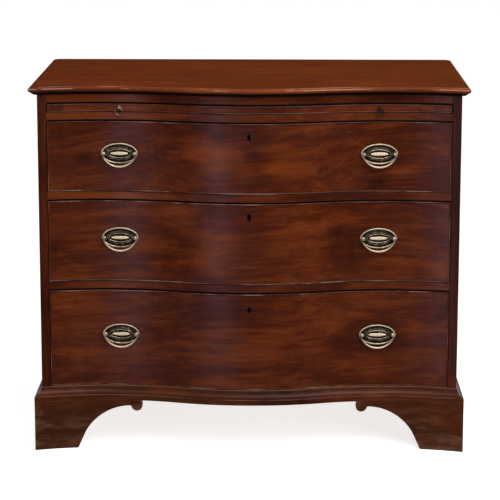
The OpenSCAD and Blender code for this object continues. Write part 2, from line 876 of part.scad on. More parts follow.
top_board();
mirror([1, 0, 0]) side_board();  // side_left
side_board();  // side_right
bottom_board();
top_rail();
slide_rail();
rail_1_2();
rail_2_3();
dust_boards();
runners();
stops();
back_boards();
base_moulding_front();
base_moulding_sides();
foot_front_left();
foot_front_right();
foot_rear_left();
foot_rear_right();
glue_blocks();
slide_board();
slide_clamps();
slide_ring_posts();
slide_ring_left();
slide_ring_right();
drawer_front(0);  // drawer_1_front
cockbead(0);  // drawer_1_cockbead
drawer_sides(0);  // drawer_1_sides
drawer_back(0);  // drawer_1_back
drawer_bottom(0);  // drawer_1_bottom
lock_case(0);  // drawer_1_lock_case
lock_bolt(0);  // drawer_1_lock_bolt
keyhole_lining(0);  // drawer_1_keyhole_lining
handle_plates(0);  // drawer_1_handle_plates
handle_posts(0);  // drawer_1_handle_posts
bail_left(0);  // drawer_1_bail_left
bail_right(0);  // drawer_1_bail_right
drawer_front(1);  // drawer_2_front
cockbead(1);  // drawer_2_cockbead
drawer_sides(1);  // drawer_2_sides
drawer_back(1);  // drawer_2_back
drawer_bottom(1);  // drawer_2_bottom
lock_case(1);  // drawer_2_lock_case
lock_bolt(1);  // drawer_2_lock_bolt
keyhole_lining(1);  // drawer_2_keyhole_lining
handle_plates(1);  // drawer_2_handle_plates
handle_posts(1);  // drawer_2_handle_posts
bail_left(1);  // drawer_2_bail_left
bail_right(1);  // drawer_2_bail_right
drawer_front(2);  // drawer_3_front
cockbead(2);  // drawer_3_cockbead
drawer_sides(2);  // drawer_3_sides
drawer_back(2);  // drawer_3_back
drawer_bottom(2);  // drawer_3_bottom
lock_case(2);  // drawer_3_lock_case
lock_bolt(2);  // drawer_3_lock_bolt
keyhole_lining(2);  // drawer_3_keyhole_lining
handle_plates(2);  // drawer_3_handle_plates
handle_posts(2);  // drawer_3_handle_posts
bail_left(2);  // drawer_3_bail_left
bail_right(2);  // drawer_3_bail_right
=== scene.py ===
"""Serpentine chest of drawers: the looks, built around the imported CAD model, in metres."""

import math

import bmesh
import bpy
from mathutils import Matrix, Vector, noise


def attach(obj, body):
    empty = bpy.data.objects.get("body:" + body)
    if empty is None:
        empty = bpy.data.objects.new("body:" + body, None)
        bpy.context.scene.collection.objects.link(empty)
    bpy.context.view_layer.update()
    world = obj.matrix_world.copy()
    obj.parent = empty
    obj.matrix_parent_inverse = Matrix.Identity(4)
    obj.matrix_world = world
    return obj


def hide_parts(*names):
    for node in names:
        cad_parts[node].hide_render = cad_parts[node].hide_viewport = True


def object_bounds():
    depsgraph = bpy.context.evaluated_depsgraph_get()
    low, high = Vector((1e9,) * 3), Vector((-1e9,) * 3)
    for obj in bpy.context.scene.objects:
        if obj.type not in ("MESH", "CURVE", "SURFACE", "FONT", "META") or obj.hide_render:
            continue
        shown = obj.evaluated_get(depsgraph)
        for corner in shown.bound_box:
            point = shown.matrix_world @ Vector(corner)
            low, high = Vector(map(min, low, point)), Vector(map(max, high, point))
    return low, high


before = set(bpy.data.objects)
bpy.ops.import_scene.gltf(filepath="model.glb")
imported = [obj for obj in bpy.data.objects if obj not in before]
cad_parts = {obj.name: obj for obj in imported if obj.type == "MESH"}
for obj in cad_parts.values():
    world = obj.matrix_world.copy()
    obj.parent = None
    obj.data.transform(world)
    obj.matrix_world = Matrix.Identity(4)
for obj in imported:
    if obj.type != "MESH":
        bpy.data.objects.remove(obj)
cad_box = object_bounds()

# Sizes shared with the CAD source
HALF_W, FRONT_Y, BACK_Y = 0.490, -0.275, 0.288
OPEN_X, RAIL_T = 0.469, 0.020
RAIL_Y, BOARD_Y = FRONT_Y + 0.095, BACK_Y - 0.010
BOW_R, HOLLOW_X, HOLLOW_D = 0.614, 0.3294, 0.04575
ARC_SUM = (HOLLOW_X ** 2 + HOLLOW_D ** 2) / (2 * HOLLOW_D)
HOLLOW_R = ARC_SUM - BOW_R
BOW_C = FRONT_Y + BOW_R
HOLLOW_C = FRONT_Y + HOLLOW_D - HOLLOW_R
TURN = math.atan(HOLLOW_X / (ARC_SUM - HOLLOW_D))
FOOT_H, BASE_Z, BASE_OUT = 0.117, 0.130, 0.016
OPEN_Z = (0.617, 0.403, 0.150)
OPEN_H = (0.167, 0.194, 0.233)
SLIDE_RAIL_Z, SLIDE_Z, SLIDE_T = 0.784, 0.804, 0.020
TOP_RAIL_Z, TOP_Z, TOP_BACK = 0.825, 0.846, 0.293
DRAWER_X, BEAD_T, BEAD_IN, BEAD_OUT = 0.4682, 0.003, 0.008, 0.0019
SLIDE_BACK, CLAMP_W = 0.195, 0.038
HANDLE_X, HANDLE_SHARE, POST_X = 0.302, 0.54, 0.036
BAIL_AXIS, BAIL_PIN, BAIL_R, BAIL_DROP = 0.0105, 0.0015, 0.0022, 0.0304
RING_AXIS, RING_R, RING_WIRE = 0.0055, 0.0086, 0.0013
KEY_Z = (0.750, 0.563, 0.343)
SIDES = ((-1, "left"), (1, "right"))


def plan(x, out=0.0):
    """y of the serpentine surface that stands out in front of the carcass face."""
    x = abs(x)
    if x < (BOW_R + out) * math.sin(TURN):
        return BOW_C - math.sqrt((BOW_R + out) ** 2 - x * x)
    return HOLLOW_C + math.sqrt((HOLLOW_R - out) ** 2 - (x - HOLLOW_X) ** 2)


def lerp(a, b, t):
    return a + (b - a) * t


def wobble(p, scale, size):
    """A smooth, repeatable offset for a point."""
    return noise.noise(Vector(p) * scale) * size


# meshes

def add_object(name, data):
    obj = bpy.data.objects.new(name, data)
    bpy.context.scene.collection.objects.link(obj)
    return obj


def make(name, part, body, material, sharp, nodes, dirt_and_shade_matt=True):
    """Makes one piece, shades it smooth with sharp arrises, and ties it to its body. The part
    is its verts and faces, then the wear of each vertex, from 1 for rubbed bare, on some edges
    also a painted highlight, to -1 for deep in dirt and painted shade, and then the number of
    each face's material. The last two can be left out."""
    verts, faces, wear, slots = (*part, None, None)[:4]
    mesh = bpy.data.meshes.new(name)
    mesh.from_pydata([tuple(v) for v in verts], [], faces)
    bm = bmesh.new()
    bm.from_mesh(mesh)
    if wear:
        layer = bm.verts.layers.float.new("wear")
        for v, w in zip(bm.verts, wear):
            v[layer] = w
    bmesh.ops.remove_doubles(bm, verts=bm.verts, dist=1e-6)
    bmesh.ops.recalc_face_normals(bm, faces=bm.faces)
    bm.to_mesh(mesh)
    bm.free()
    for m in material if isinstance(material, list) else [material]:
        mesh.materials.append(m)
    if slots:
        mesh.polygons.foreach_set("material_index", slots)
    # Faces wholly in dirt and painted shade get a near black matt of their own
    if wear and dirt_and_shade_matt:
        lay_dirt_and_shade(mesh)
    mesh.shade_smooth()
    mesh.set_sharp_from_angle(angle=math.radians(sharp))
    obj = add_object(name, mesh)
    weigh_normals(obj)
    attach(obj, body)
    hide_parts(*nodes)
    return obj


def weigh_normals(obj):
    """Keeps wide flat faces flat beside their small roundings."""
    mod = obj.modifiers.new("weighted_normals", "WEIGHTED_NORMAL")
    mod.keep_sharp = True
    mod.weight = 60


def lay_dirt_and_shade(mesh):
    """Gives the faces that lie wholly in the dirt and painted shade a dull, near black material of
    their own.
    """
    worn = mesh.attributes["wear"].data
    dirty_and_shaded = [f for f in mesh.polygons if max(worn[v].value for v in f.vertices) < -0.55]
    if dirty_and_shaded and max(worn[v].value for f in mesh.polygons for v in f.vertices) > -0.5:
        mesh.materials.append(dirt_and_shade_matt)
        for f in dirty_and_shaded:
            f.material_index = len(mesh.materials) - 1


def fillet(points, radii, steps=4):
    """Rounds the corners of a closed outline; returns points with their wear."""
    out = []
    n = len(points)
    for i, (p, r) in enumerate(zip(points, radii)):
        p = Vector(p)
        a, b = Vector(points[i - 1]) - p, Vector(points[(i + 1) % n]) - p
        if r <= 0 or a.length < 1e-9 or b.length < 1e-9:
            out.append((p.x, p.y, 0.0))
            continue
        ang = a.angle(b)
        cut = min(r / math.tan(ang / 2), 0.45 * a.length, 0.45 * b.length)
        p0, p1 = p + a.normalized() * cut, p + b.normalized() * cut
        for k in range(steps + 1):
            t = k / steps
            q = p0 * (1 - t) ** 2 + p * 2 * t * (1 - t) + p1 * t * t
            out.append((q.x, q.y, math.sin(math.pi * t)))
    return out


def spline(points, per=4):
    """Catmull-Rom curve through an open list of points."""
    pts = [Vector(p) for p in points]
    pts = [pts[0] * 2 - pts[1]] + pts + [pts[-1] * 2 - pts[-2]]
    out = []
    for i in range(1, len(pts) - 2):
        a, b, c, d = pts[i - 1:i + 3]
        for k in range(per):
            t = k / per
            out.append(tuple(0.5 * ((2 * b) + (c - a) * t + (2 * a - 5 * b + 4 * c - d) * t ** 2
                                    + (3 * b - a - 3 * c + d) * t ** 3)))
    return out + [tuple(pts[-2])]


def grid_faces(rows, cols, wrap_cols=False, wrap_rows=False, base=0):
    """Quads between rows of cols points."""
    faces = []
    for i in range(rows if wrap_rows else rows - 1):
        for j in range(cols if wrap_cols else cols - 1):
            a, b = base + i * cols, base + ((i + 1) % rows) * cols
            k = (j + 1) % cols
            faces.append((a + j, a + k, b + k, b + j))
    return faces


def stations(x0, x1, step=0.006):
    n = max(2, round(abs(x1 - x0) / step))
    return [lerp(x0, x1, i / n) for i in range(n + 1)]


def loft(rings):
    """A solid through closed rings of (point, wear): its verts, faces and wear."""
    n = len(rings[0])
    last = (len(rings) - 1) * n
    faces = grid_faces(len(rings), n, wrap_cols=True)
    faces += [tuple(range(n)), tuple(range(last, last + n))[::-1]]
    points = [point for ring in rings for point in ring]
    return [p for p, _ in points], faces, [w for _, w in points]


def sweep(name, section, x0, x1, body, material, nodes, rough, flare=False, inside=-1.0):
    """A closed section run along the serpentine. Section points are (out, z, wear) or, where
    they lie on a straight back, ("y", y, z). With flare the ends follow the section out.
    inside is the wear on the back; below zero it is dirt and painted shade."""
    def point(x, s):
        if s[0] == "y":
            return (x, s[1], s[2]), inside
        out, z, w = s
        px = x * (HALF_W + out) / HALF_W if flare else x
        d = wobble((px, out * 3, z * 3), 14, rough) + wobble((px, out, z), 55, rough / 3)
        return (px, plan(px, out) + d * (0.3 + w), z + d * 0.6 * w), w

    part = loft([[point(x, s) for s in section] for x in stations(x0, x1)])
    return make(name, part, body, material, 35, nodes)


def lathe(profile, turns, axis="y"):
    """Verts and faces of a turned shape. Profile is (along the axis, radius)."""
    verts = []
    for h, r in profile:
        for k in range(turns):
            a = 2 * math.pi * k / turns
            c, s = r * math.cos(a), r * math.sin(a)
            verts.append((h, c, s) if axis == "x" else (c, h, s))
    return verts, grid_faces(len(profile), turns, wrap_cols=True)


def tube(path, radii, turns, closed=False):
    """Verts and faces of a rod along a path in the XZ plane."""
    verts = []
    n = len(path)
    for i, (p, r) in enumerate(zip(path, radii)):
        a = Vector(path[i - 1] if i or closed else p)
        b = Vector(path[(i + 1) % n] if i < n - 1 or closed else p)
        d = (b - a).normalized()
        side = d.cross(Vector((0, 1, 0))).normalized()
        up = side.cross(d)
        for k in range(turns):
            t = 2 * math.pi * k / turns
            verts.append(Vector(p) + side * (r * math.cos(t)) + up * (r * math.sin(t)))
    faces = grid_faces(n, turns, wrap_cols=True, wrap_rows=closed)
    if not closed:
        faces += [tuple(range(turns)), tuple(range((n - 1) * turns, n * turns))[::-1]]
    return verts, faces


def join(parts):
    """Several parts as one: verts, faces, wear and, for each face, the number of its part.
    A part is (verts, faces) or (verts, faces, wear)."""
    verts, faces, wear, numbers = [], [], [], []
    for k, (v, f, *w) in enumerate(parts):
        faces += [tuple(i + len(verts) for i in q) for q in f]
        numbers += [k] * len(f)
        verts += [tuple(p) for p in v]
        wear += w[0] if w else []
    return verts, faces, wear, numbers


def moved(part, dx=0.0, dy=0.0):
    return [(x + dx, y + dy, z) for x, y, z in part[0]], part[1]


def place(part, matrix):
    return ([matrix @ Vector(v) for v in part[0]], *part[1:])


TILT = math.asin((HOLLOW_X - HANDLE_X) / HOLLOW_R)


def handle_matrix(side, z):
    """Local frame of a handle: origin on the wood, -Y out of it. side is -1 or 1."""
    m = Matrix.Translation((HANDLE_X, plan(HANDLE_X), z)) @ Matrix.Rotation(TILT, 4, "Z")
    return Matrix.Diagonal((side, 1, 1, 1)) @ m if side < 0 else m


# materials

# Near black: dirt, and painted shade in the gaps and corners
DIRT_AND_SHADE_COLOUR = (0.010, 0.0040, 0.0024)
PORE_COLOUR = (0.016, 0.0045, 0.0025)
# Pale brass for rubbed metal: polish and painted highlight
POLISH_AND_HIGHLIGHT_COLOUR = (0.86, 0.69, 0.50)


class Nodes:
    """Short-hand for building the nodes of a material or of the world."""

    def __init__(self, owner, shader="ShaderNodeBsdfPrincipled",
                 output="ShaderNodeOutputMaterial"):
        owner.use_nodes = True
        self.owner = owner
        self.tree = owner.node_tree
        self.tree.nodes.clear()
        self.shader = self.add(shader)
        self.add(output, {0: self.shader.outputs[0]})

    def add(self, kind, sockets=(), **values):
        """A new node with its settings and its inputs."""
        node = self.tree.nodes.new(kind)
        for key, value in values.items():
            setattr(node, key, value)
        self.fill(node, sockets)
        return node

    def fill(self, node, sockets):
        """Sets or links inputs of a node, by name or number."""
        for key, value in dict(sockets).items():
            if isinstance(value, bpy.types.NodeSocket):
                self.tree.links.new(value, node.inputs[key])
            else:
                node.inputs[key].default_value = value

    def place(self):
        return self.add("ShaderNodeTexCoord").outputs["Object"]

    def coords(self, seed, axis="x"):
        """Object coordinates with the grain turned to run along X."""
        turn = {"x": (0, 0, 0), "y": (0, 0, -math.pi / 2), "z": (0, math.pi / 2, 0)}[axis]
        return self.scaled(self.place(), (1, 1, 1), seed, turn)

    def scaled(self, vector, scale, move=(0, 0, 0), turn=(0, 0, 0)):
        return self.add("ShaderNodeMapping", {"Vector": vector, "Scale": scale, "Location": move,
                                              "Rotation": turn}).outputs[0]

    def noise(self, vector, detail=3.0, rough=0.55, distort=0.0, scale=1.0, out=0):
        return self.add("ShaderNodeTexNoise", {
            "Vector": vector, "Scale": scale, "Detail": detail, "Roughness": rough,
            "Distortion": distort}).outputs[out]

    def math(self, op, a, b=0.0, clamp=False):
        node = self.add("ShaderNodeMath", {0: a, 1: b}, operation=op, use_clamp=clamp)
        return node.outputs[0]

    def weighted(self, parts):
        """Sum of values, each times its share."""
        total = 0.0
        for value, share in parts:
            total = self.math("ADD", total, self.math("MULTIPLY", value, share))
        return total

    def vector(self, op, a, b=(0, 0, 0), out=0):
        """Vector maths. For SCALE, b is a number."""
        sockets = {0: a, "Scale" if op == "SCALE" else 1: b}
        return self.add("ShaderNodeVectorMath", sockets, operation=op).outputs[out]

    def range(self, value, lo, hi, to_lo=0.0, to_hi=1.0, smooth=True):
        sockets = {"Value": value, "From Min": lo, "From Max": hi, "To Min": to_lo,
                   "To Max": to_hi}
        kind = "SMOOTHSTEP" if smooth else "LINEAR"
        return self.add("ShaderNodeMapRange", sockets, interpolation_type=kind).outputs[0]

    def ramp(self, value, stops):
        node = self.add("ShaderNodeValToRGB", {0: value})
        elements = node.color_ramp.elements
        while len(elements) < len(stops):
            elements.new(0.5)
        for element, (place, colour) in zip(elements, stops):
            element.position = place
            element.color = (*colour, 1)
        return node.outputs[0]

    def mix(self, share, a, b):
        a, b = ((*v, 1) if isinstance(v, tuple) else v for v in (a, b))
        return self.add("ShaderNodeMix", {0: share, 6: a, 7: b}, data_type="RGBA").outputs[2]

    def warp(self, vector, scale, size):
        """Bends coordinates by a soft noise."""
        bend = self.noise(vector, detail=2.0, rough=0.5, scale=scale, out="Color")
        bend = self.vector("SUBTRACT", bend, (0.5, 0.5, 0.5))
        return self.vector("ADD", vector, self.vector("SCALE", bend, size))

    def bump(self, height, distance, strength=1.0, normal=None):
        sockets = {"Strength": strength, "Distance": distance, "Height": height}
        if normal is not None:
            sockets["Normal"] = normal
        return self.add("ShaderNodeBump", sockets).outputs[0]

    def mark(self, x, z, wide, high, amount):
        """A soft patch on a front, at x and z, that lightens or darkens the figure."""
        bent = self.warp(self.place(), 9, 0.05)
        at = self.scaled(bent, (1 / wide, 0, 1 / high), move=(-x / wide, 0, -z / high))
        return self.range(self.vector("LENGTH", at, out="Value"), 0.25, 1.0, amount, 0.0)

    def wear(self):
        return self.add("ShaderNodeAttribute", attribute_name="wear").outputs["Fac"]


def tinted(colour, tone):
    return tuple(v * tone for v in colour)


def matt(name, colour, gloss=0.5):
    """A dull material of one colour."""
    n = Nodes(bpy.data.materials.new(name))
    n.fill(n.shader, {"Base Color": (*colour, 1), "Roughness": 0.9, "Specular IOR Level": gloss})
    return n.owner


def mahogany(name, seed, axis="x", dark=(0.024, 0.0048, 0.0022), mid=(0.070, 0.0112, 0.0030),
             light=(0.140, 0.0270, 0.0042), slant=0.25, figure=0.55, rough=0.235, gloss=0.32,
             worn=(0.24, 0.125, 0.082), wear=0.9, tone=1.0, marks=(), rubbed=(0.44, 0.68),
             rub_size=(11, 60, 60)):
    """Old polished mahogany. Rubbed edges, dirt and painted shade follow the mesh's wear; on some
    edges the rubbed colour also paints highlights.
    """
    n = Nodes(bpy.data.materials.new(name))
    base = n.coords(seed, axis)
    soft = n.warp(n.scaled(base, (1, 1, 1), turn=(0, 0.22 * slant, 0)), 2.6, 0.045)
    fibre = n.noise(n.scaled(soft, (6, 300, 300)), detail=5, rough=0.66)
    streak = n.noise(n.scaled(soft, (1.7, 46, 46)), detail=5, rough=0.62, distort=0.4)
    line = n.noise(n.scaled(soft, (3.6, 130, 130), move=(2, 8, 4)), detail=4, rough=0.6)
    flame = n.noise(n.scaled(n.warp(base, 5, 0.05), (6.5, 20, 24), turn=(0, slant, 0)),
                    detail=3, rough=0.5, distort=0.6)
    cloud = n.noise(n.scaled(base, (2.2, 4.5, 4.5), move=(3, 1, 7)), detail=2)
    mottle = n.noise(n.scaled(soft, (42, 9, 9), move=(5, 2, 0)), detail=2)
    grain = ((streak, 0.46), (fibre, 0.30), (line, 0.30), (flame, figure), (cloud, 0.34),
             (mottle, 0.08))
    f = n.weighted(grain)
    for mark in marks:
        f = n.math("ADD", f, n.mark(*mark))
    middle = 0.5 * sum(share for _, share in grain)
    f = n.range(f, middle - 0.26, middle + 0.26, smooth=False)
    colour = n.ramp(f, [(0.0, tinted(dark, tone)), (0.45, tinted(mid, tone)),
                        (0.8, tinted(light, tone)), (1.0, tinted(light, 1.25 * tone))])
    pore = n.range(n.noise(n.scaled(soft, (45, 1500, 1500)), detail=2, rough=0.5), 0.60, 0.72)
    colour = n.mix(n.math("MULTIPLY", pore, 0.35), colour, tinted(PORE_COLOUR, tone))
    # rubbed arrises, broken up along the edge; on the top's nose and the cockbeads they also paint
    # highlights
    worn_at = n.wear()
    rub = n.noise(n.scaled(base, rub_size, move=(9, 4, 2)), detail=4, rough=0.6)
    rub = n.math("MULTIPLY", worn_at, n.range(rub, *rubbed))
    colour = n.mix(n.math("MULTIPLY", rub, wear, clamp=True), colour, worn)
    # old wax and dirt in the corners, and painted shade in the gaps, where the wear is below zero
    dirt = n.math("MULTIPLY", worn_at, -1.0, clamp=True)
    colour = n.mix(dirt, colour, DIRT_AND_SHADE_COLOUR)
    # polish, duller in the pores and where hands have been
    dull = n.noise(n.scaled(base, (5, 8, 8), move=(1, 6, 3)), detail=4, rough=0.6)
    r = n.range(dull, 0.3, 0.7, rough - 0.05, rough + 0.07)
    r = n.weighted(((r, 1.0), (fibre, 0.06), (dirt, 0.3)))
    swell = n.noise(n.scaled(base, (5, 9, 9), move=(2, 2, 5)), detail=2)
    b = n.bump(swell, 0.0025, 0.35)
    b = n.bump(fibre, 0.00006, 0.5, b)
    b = n.bump(n.math("SUBTRACT", 1.0, pore), 0.00005, 0.4, b)
    n.fill(n.shader, {"Base Color": colour, "Roughness": r, "Specular IOR Level": gloss,
                      "Normal": b})
    return n.owner


def plain_wood(name, seed, axis, dark, mid, light, rings=16.0, boards=None):
    """Unpolished oak or pine, with saw marks and dust. boards is the edge of the first board
    and the width of each, along X, where one material covers several boards."""
    n = Nodes(bpy.data.materials.new(name))
    base = n.coords(seed, axis)
    seam = None
    if boards:
        x = n.add("ShaderNodeSeparateXYZ", {0: n.place()}).outputs[0]
        at = n.math("DIVIDE", n.math("SUBTRACT", x, boards[0]), boards[1])
        step = n.math("MULTIPLY", n.math("FLOOR", at), 3.7)
        step = n.add("ShaderNodeCombineXYZ", {0: step, 1: step, 2: step}).outputs[0]
        base = n.vector("ADD", base, step)
        seam = n.math("ABSOLUTE", n.math("SUBTRACT", n.math("FRACT", at), 0.5))
    soft = n.warp(base, 3.0, 0.03)
    wave = n.noise(n.scaled(soft, (0.8, rings, rings)), detail=3, distort=0.8)
    bands = n.range(n.math("FRACT", n.math("MULTIPLY", wave, 7.0)), 0.0, 1.0, 0.15, 1.0)
    fibre = n.noise(n.scaled(soft, (9, 420, 420)), detail=4, rough=0.6)
    f = n.weighted(((bands, 0.5), (fibre, 0.6)))
    colour = n.ramp(f, [(0.1, dark), (0.55, mid), (0.95, light)])
    dust = n.noise(n.scaled(base, (3, 3, 3), move=(4, 4, 4)), detail=5, rough=0.65)
    colour = n.mix(n.range(dust, 0.45, 0.75, 0.0, 0.5), colour, tinted(mid, 0.45))
    if seam is not None:
        colour = n.mix(n.range(seam, 0.490, 0.497), colour, tinted(mid, 0.12))
    saw = n.noise(n.scaled(base, (160, 5, 5)), detail=1)
    n.fill(n.shader, {"Base Color": colour, "Roughness": n.range(fibre, 0.3, 0.7, 0.56, 0.74),
                      "Specular IOR Level": 0.3,
                      "Normal": n.bump(saw, 0.0001, 0.25, n.bump(fibre, 0.00015, 0.5))})
    return n.owner


def metal(name, bright, tarnish, dirt, rough, cover):
    """Old brass or iron: rubbed metal over tarnish, with dirt in the hollows. The rubbed metal is
    pale and less metallic, polish and painted highlight; below zero the wear is dirt, and at the
    plates' skirts also painted shadow.
    """
    n = Nodes(bpy.data.materials.new(name))
    patch = n.noise(n.scaled(n.place(), (90, 90, 90)), detail=5, rough=0.65)
    fine = n.noise(n.scaled(n.place(), (900, 900, 900)), detail=2)
    t = n.weighted(((patch, 0.75), (fine, 0.25)))
    colour = n.mix(n.range(t, cover - 0.12, cover + 0.14), bright, tarnish)
    worn_at = n.wear()
    # Dirt where the wear is below zero, with painted shadow at the plates' skirts
    dirty_and_shaded = n.math("MULTIPLY", worn_at, n.range(patch, 0.25, 0.6, -0.8, -1.2), clamp=True)
    # Rubbed metal: polish and painted highlight
    rubbed = n.math("MULTIPLY", worn_at, 1.0, clamp=True)
    colour = n.mix(dirty_and_shaded, n.mix(rubbed, colour, POLISH_AND_HIGHLIGHT_COLOUR), dirt)
    r = n.range(patch, 0.3, 0.7, rough - 0.05, rough + 0.13)
    r = n.weighted(((r, 1.0), (dirty_and_shaded, 0.3)))
    clean = n.math("SUBTRACT", 1.0, n.math("MULTIPLY", dirty_and_shaded, 0.9))
    matt = n.math("SUBTRACT", 1.0, n.math("MULTIPLY", rubbed, 0.75))
    bare = n.math("MULTIPLY", n.math("MULTIPLY", clean, matt), 0.78)
    n.fill(n.shader, {"Base Color": colour, "Roughness": r, "Specular IOR Level": 0.10,
                      "Metallic": bare,
                      "Normal": n.bump(fine, 0.00004, 0.5, n.bump(patch, 0.0002, 0.3))})
    return n.owner


FRONT_TONES = [
    dict(seed=(0.37, 0.11, 1.90), slant=0.34, figure=0.46,
         marks=[(0.105, 0.677, 0.09, 0.026, 0.12), (0.292, 0.655, 0.06, 0.04, -0.12),
                (-0.383, 0.698, 0.03, 0.025, -0.12), (0.012, 0.690, 0.06, 0.16, -0.05),
                (-0.09, 0.705, 0.10, 0.05, 0.18)]),
    dict(seed=(3.10, 0.72, 0.35), slant=0.18, figure=0.40,
         marks=[(0.10, 0.53, 0.12, 0.03, 0.08), (-0.24, 0.50, 0.12, 0.02, 0.06),
                (-0.075, 0.50, 0.08, 0.08, 0.12), (0.225, 0.50, 0.08, 0.08, -0.13)]),
    dict(seed=(5.60, 1.40, 2.85), slant=0.24, figure=0.42,
         marks=[(0.25, 0.27, 0.10, 0.08, -0.09), (0.33, 0.26, 0.07, 0.09, -0.09),
                (0.0, 0.25, 0.10, 0.05, 0.08)])]
fronts = [mahogany(f"drawer_front_{i + 1}", **t) for i, t in enumerate(FRONT_TONES)]
rails = mahogany("rail_mahogany", seed=(7.3, 2.2, 0.4), slant=0.05, figure=0.25, tone=0.92,
                 marks=[(-0.33, 0.794, 0.26, 0.03, 0.28), (0.10, 0.794, 0.40, 0.03, 0.10),
                        (-0.36, 0.607, 0.24, 0.03, 0.30), (0.24, 0.607, 0.20, 0.03, -0.16)])
# A darker copy of the rails' wood: painted shadow under the top's overhang
top_rail_shadow_wood = mahogany("top_rail_mahogany_painted_shadow", seed=(1.7, 5.2, 3.4), slant=0.05, figure=0.25,
                         tone=0.80, gloss=0.24, marks=[(-0.35, 0.835, 0.2, 0.04, 0.20)])
# The cross beads' pale rubbed crowns: wear and painted highlight lines
beads = mahogany("bead_mahogany", seed=(2.9, 6.1, 0.8), slant=0.03, figure=0.2, tone=0.85,
                 wear=1.0, worn=(0.27, 0.155, 0.115))
beads_up = mahogany("bead_mahogany_upright", seed=(2.4, 5.1, 1.8), axis="z", slant=0.03,
                    figure=0.2, tone=0.85, wear=0.6, worn=(0.20, 0.11, 0.08))
SIDE = dict(seed=(1.3, 4.2, 6.4), axis="z", slant=0.08, figure=0.35)
stiles = mahogany("side_mahogany", tone=0.66, gloss=0.26, **SIDE)
flank_wood = mahogany("flank_mahogany", tone=0.86, gloss=0.07, rough=0.36, **SIDE)
top_wood = mahogany("top_mahogany", seed=(8.8, 3.1, 2.2), slant=0.05, figure=0.30,
                    dark=(0.120, 0.0210, 0.0030), mid=(0.180, 0.0330, 0.0040),
                    light=(0.240, 0.052, 0.0065), rough=0.26, gloss=0.14, worn=(0.42, 0.20, 0.11))
# Pale rubbed patches on a dull polish: wear and painted highlights along the nose
top_edge_wood = mahogany("top_edge_mahogany", seed=(8.1, 3.9, 2.9), slant=0.04, figure=0.3,
                         dark=(0.038, 0.0070, 0.0026), mid=(0.085, 0.0150, 0.0036),
                         light=(0.150, 0.034, 0.0060), rough=0.32, gloss=0.13, tone=1.6,
                         worn=(0.56, 0.29, 0.17), rubbed=(0.49, 0.57), rub_size=(6, 26, 26),
                         marks=[(-0.46, 0.86, 0.09, 0.06, -0.12), (0.0, 0.86, 0.30, 0.06, 0.14)])
slide_wood = mahogany("slide_mahogany", seed=(4.4, 8.2, 3.3), slant=0.06, figure=0.3, tone=1.1,
                      marks=[(-0.35, 0.814, 0.25, 0.04, 0.12)])
slide_end_wood = mahogany("slide_clamp_mahogany", seed=(6.2, 1.2, 5.3), axis="y", slant=0.06,
                          figure=0.3)
# Less red than the fronts, which paints part of the soft sheen along the base
base_wood = mahogany("base_mahogany", seed=(9.5, 7.3, 1.1), slant=0.10, figure=0.35, tone=0.95,
                     mid=(0.070, 0.0150, 0.0045), light=(0.135, 0.0310, 0.0080),
                     worn=(0.34, 0.19, 0.12), rough=0.32, gloss=0.16, rubbed=(0.30, 0.58),
                     marks=[(0.10, 0.14, 0.12, 0.06, -0.20), (0.31, 0.13, 0.08, 0.05, 0.10)])
base_side_wood = mahogany("base_side_mahogany", seed=(3.5, 9.3, 4.1), axis="y", slant=0.10,
                          figure=0.35, tone=0.85, rough=0.36, gloss=0.09)
FOOT = dict(dark=(0.024, 0.0060, 0.0024), mid=(0.050, 0.0118, 0.0034),
            light=(0.088, 0.0215, 0.0050), figure=0.22, rough=0.36, gloss=0.09,
            worn=(0.22, 0.13, 0.08))
foot_wood = mahogany("foot_mahogany", seed=(5.2, 6.3, 7.7), slant=0.08, **FOOT)
foot_side_wood = mahogany("foot_side_mahogany", seed=(7.4, 5.5, 2.3), axis="y", **FOOT)
OAK = ((0.14, 0.085, 0.042), (0.30, 0.19, 0.10), (0.42, 0.29, 0.17))
PINE = ((0.27, 0.125, 0.045), (0.48, 0.255, 0.100), (0.60, 0.36, 0.165))
oak_y = plain_wood("oak_lengthwise", (1, 2, 3), "y", *OAK)
oak_x = plain_wood("oak_crosswise", (4, 2, 1), "x", *OAK)
pine_x = plain_wood("pine_crosswise", (2, 5, 1), "x", *PINE, rings=9.0)
pine_z = plain_wood("pine_upright", (3, 3, 8), "z", *PINE, rings=20.0)
pine_back = plain_wood("pine_back_boards", (3, 3, 8), "z", *PINE, rings=17.0,
                       boards=(-OPEN_X - 0.010, (OPEN_X + 0.010) / 2))
brass = metal("old_brass", (0.55, 0.43, 0.30), (0.155, 0.100, 0.050), (0.010, 0.007, 0.004),
              rough=0.27, cover=0.52)
brass_plain = metal("plain_brass", (0.72, 0.56, 0.30), (0.26, 0.18, 0.08),
                    (0.020, 0.015, 0.009), rough=0.30, cover=0.5)
brass_worn = metal("worn_brass", (0.42, 0.33, 0.24), (0.14, 0.10, 0.070),
                   (0.012, 0.009, 0.006), rough=0.32, cover=0.46)
brass_dark = metal("tarnished_brass", (0.16, 0.11, 0.055), (0.035, 0.025, 0.015),
                   (0.010, 0.008, 0.006), rough=0.38, cover=0.42)
# Near black, for the keyhole linings, so that the keyhole's dark spreads over them
brass_black = metal("near_black_brass", (0.40, 0.30, 0.20), (0.20, 0.15, 0.10),
                    (0.004, 0.003, 0.002), rough=0.35, cover=0.5)
iron = metal("forged_iron", (0.10, 0.095, 0.09), (0.055, 0.040, 0.030), (0.03, 0.02, 0.015),
             rough=0.5, cover=0.5)
# Old wax and dust in corners and gaps, with painted shade in the gaps
dirt_and_shade_matt = matt("dirt_and_shade_matt", DIRT_AND_SHADE_COLOUR, gloss=0.03)

# top

TOP_EDGE = [(1.5, 0), (4, 0.7), (7, 2.2), (10, 4.6), (13, 7.4), (15.8, 9.6), (17.5, 11.2),
            (18, 13), (17.8, 15), (16.9, 17), (15.2, 18.6), (12.6, 19.6), (9, 20)]
CORNER_R = 0.009


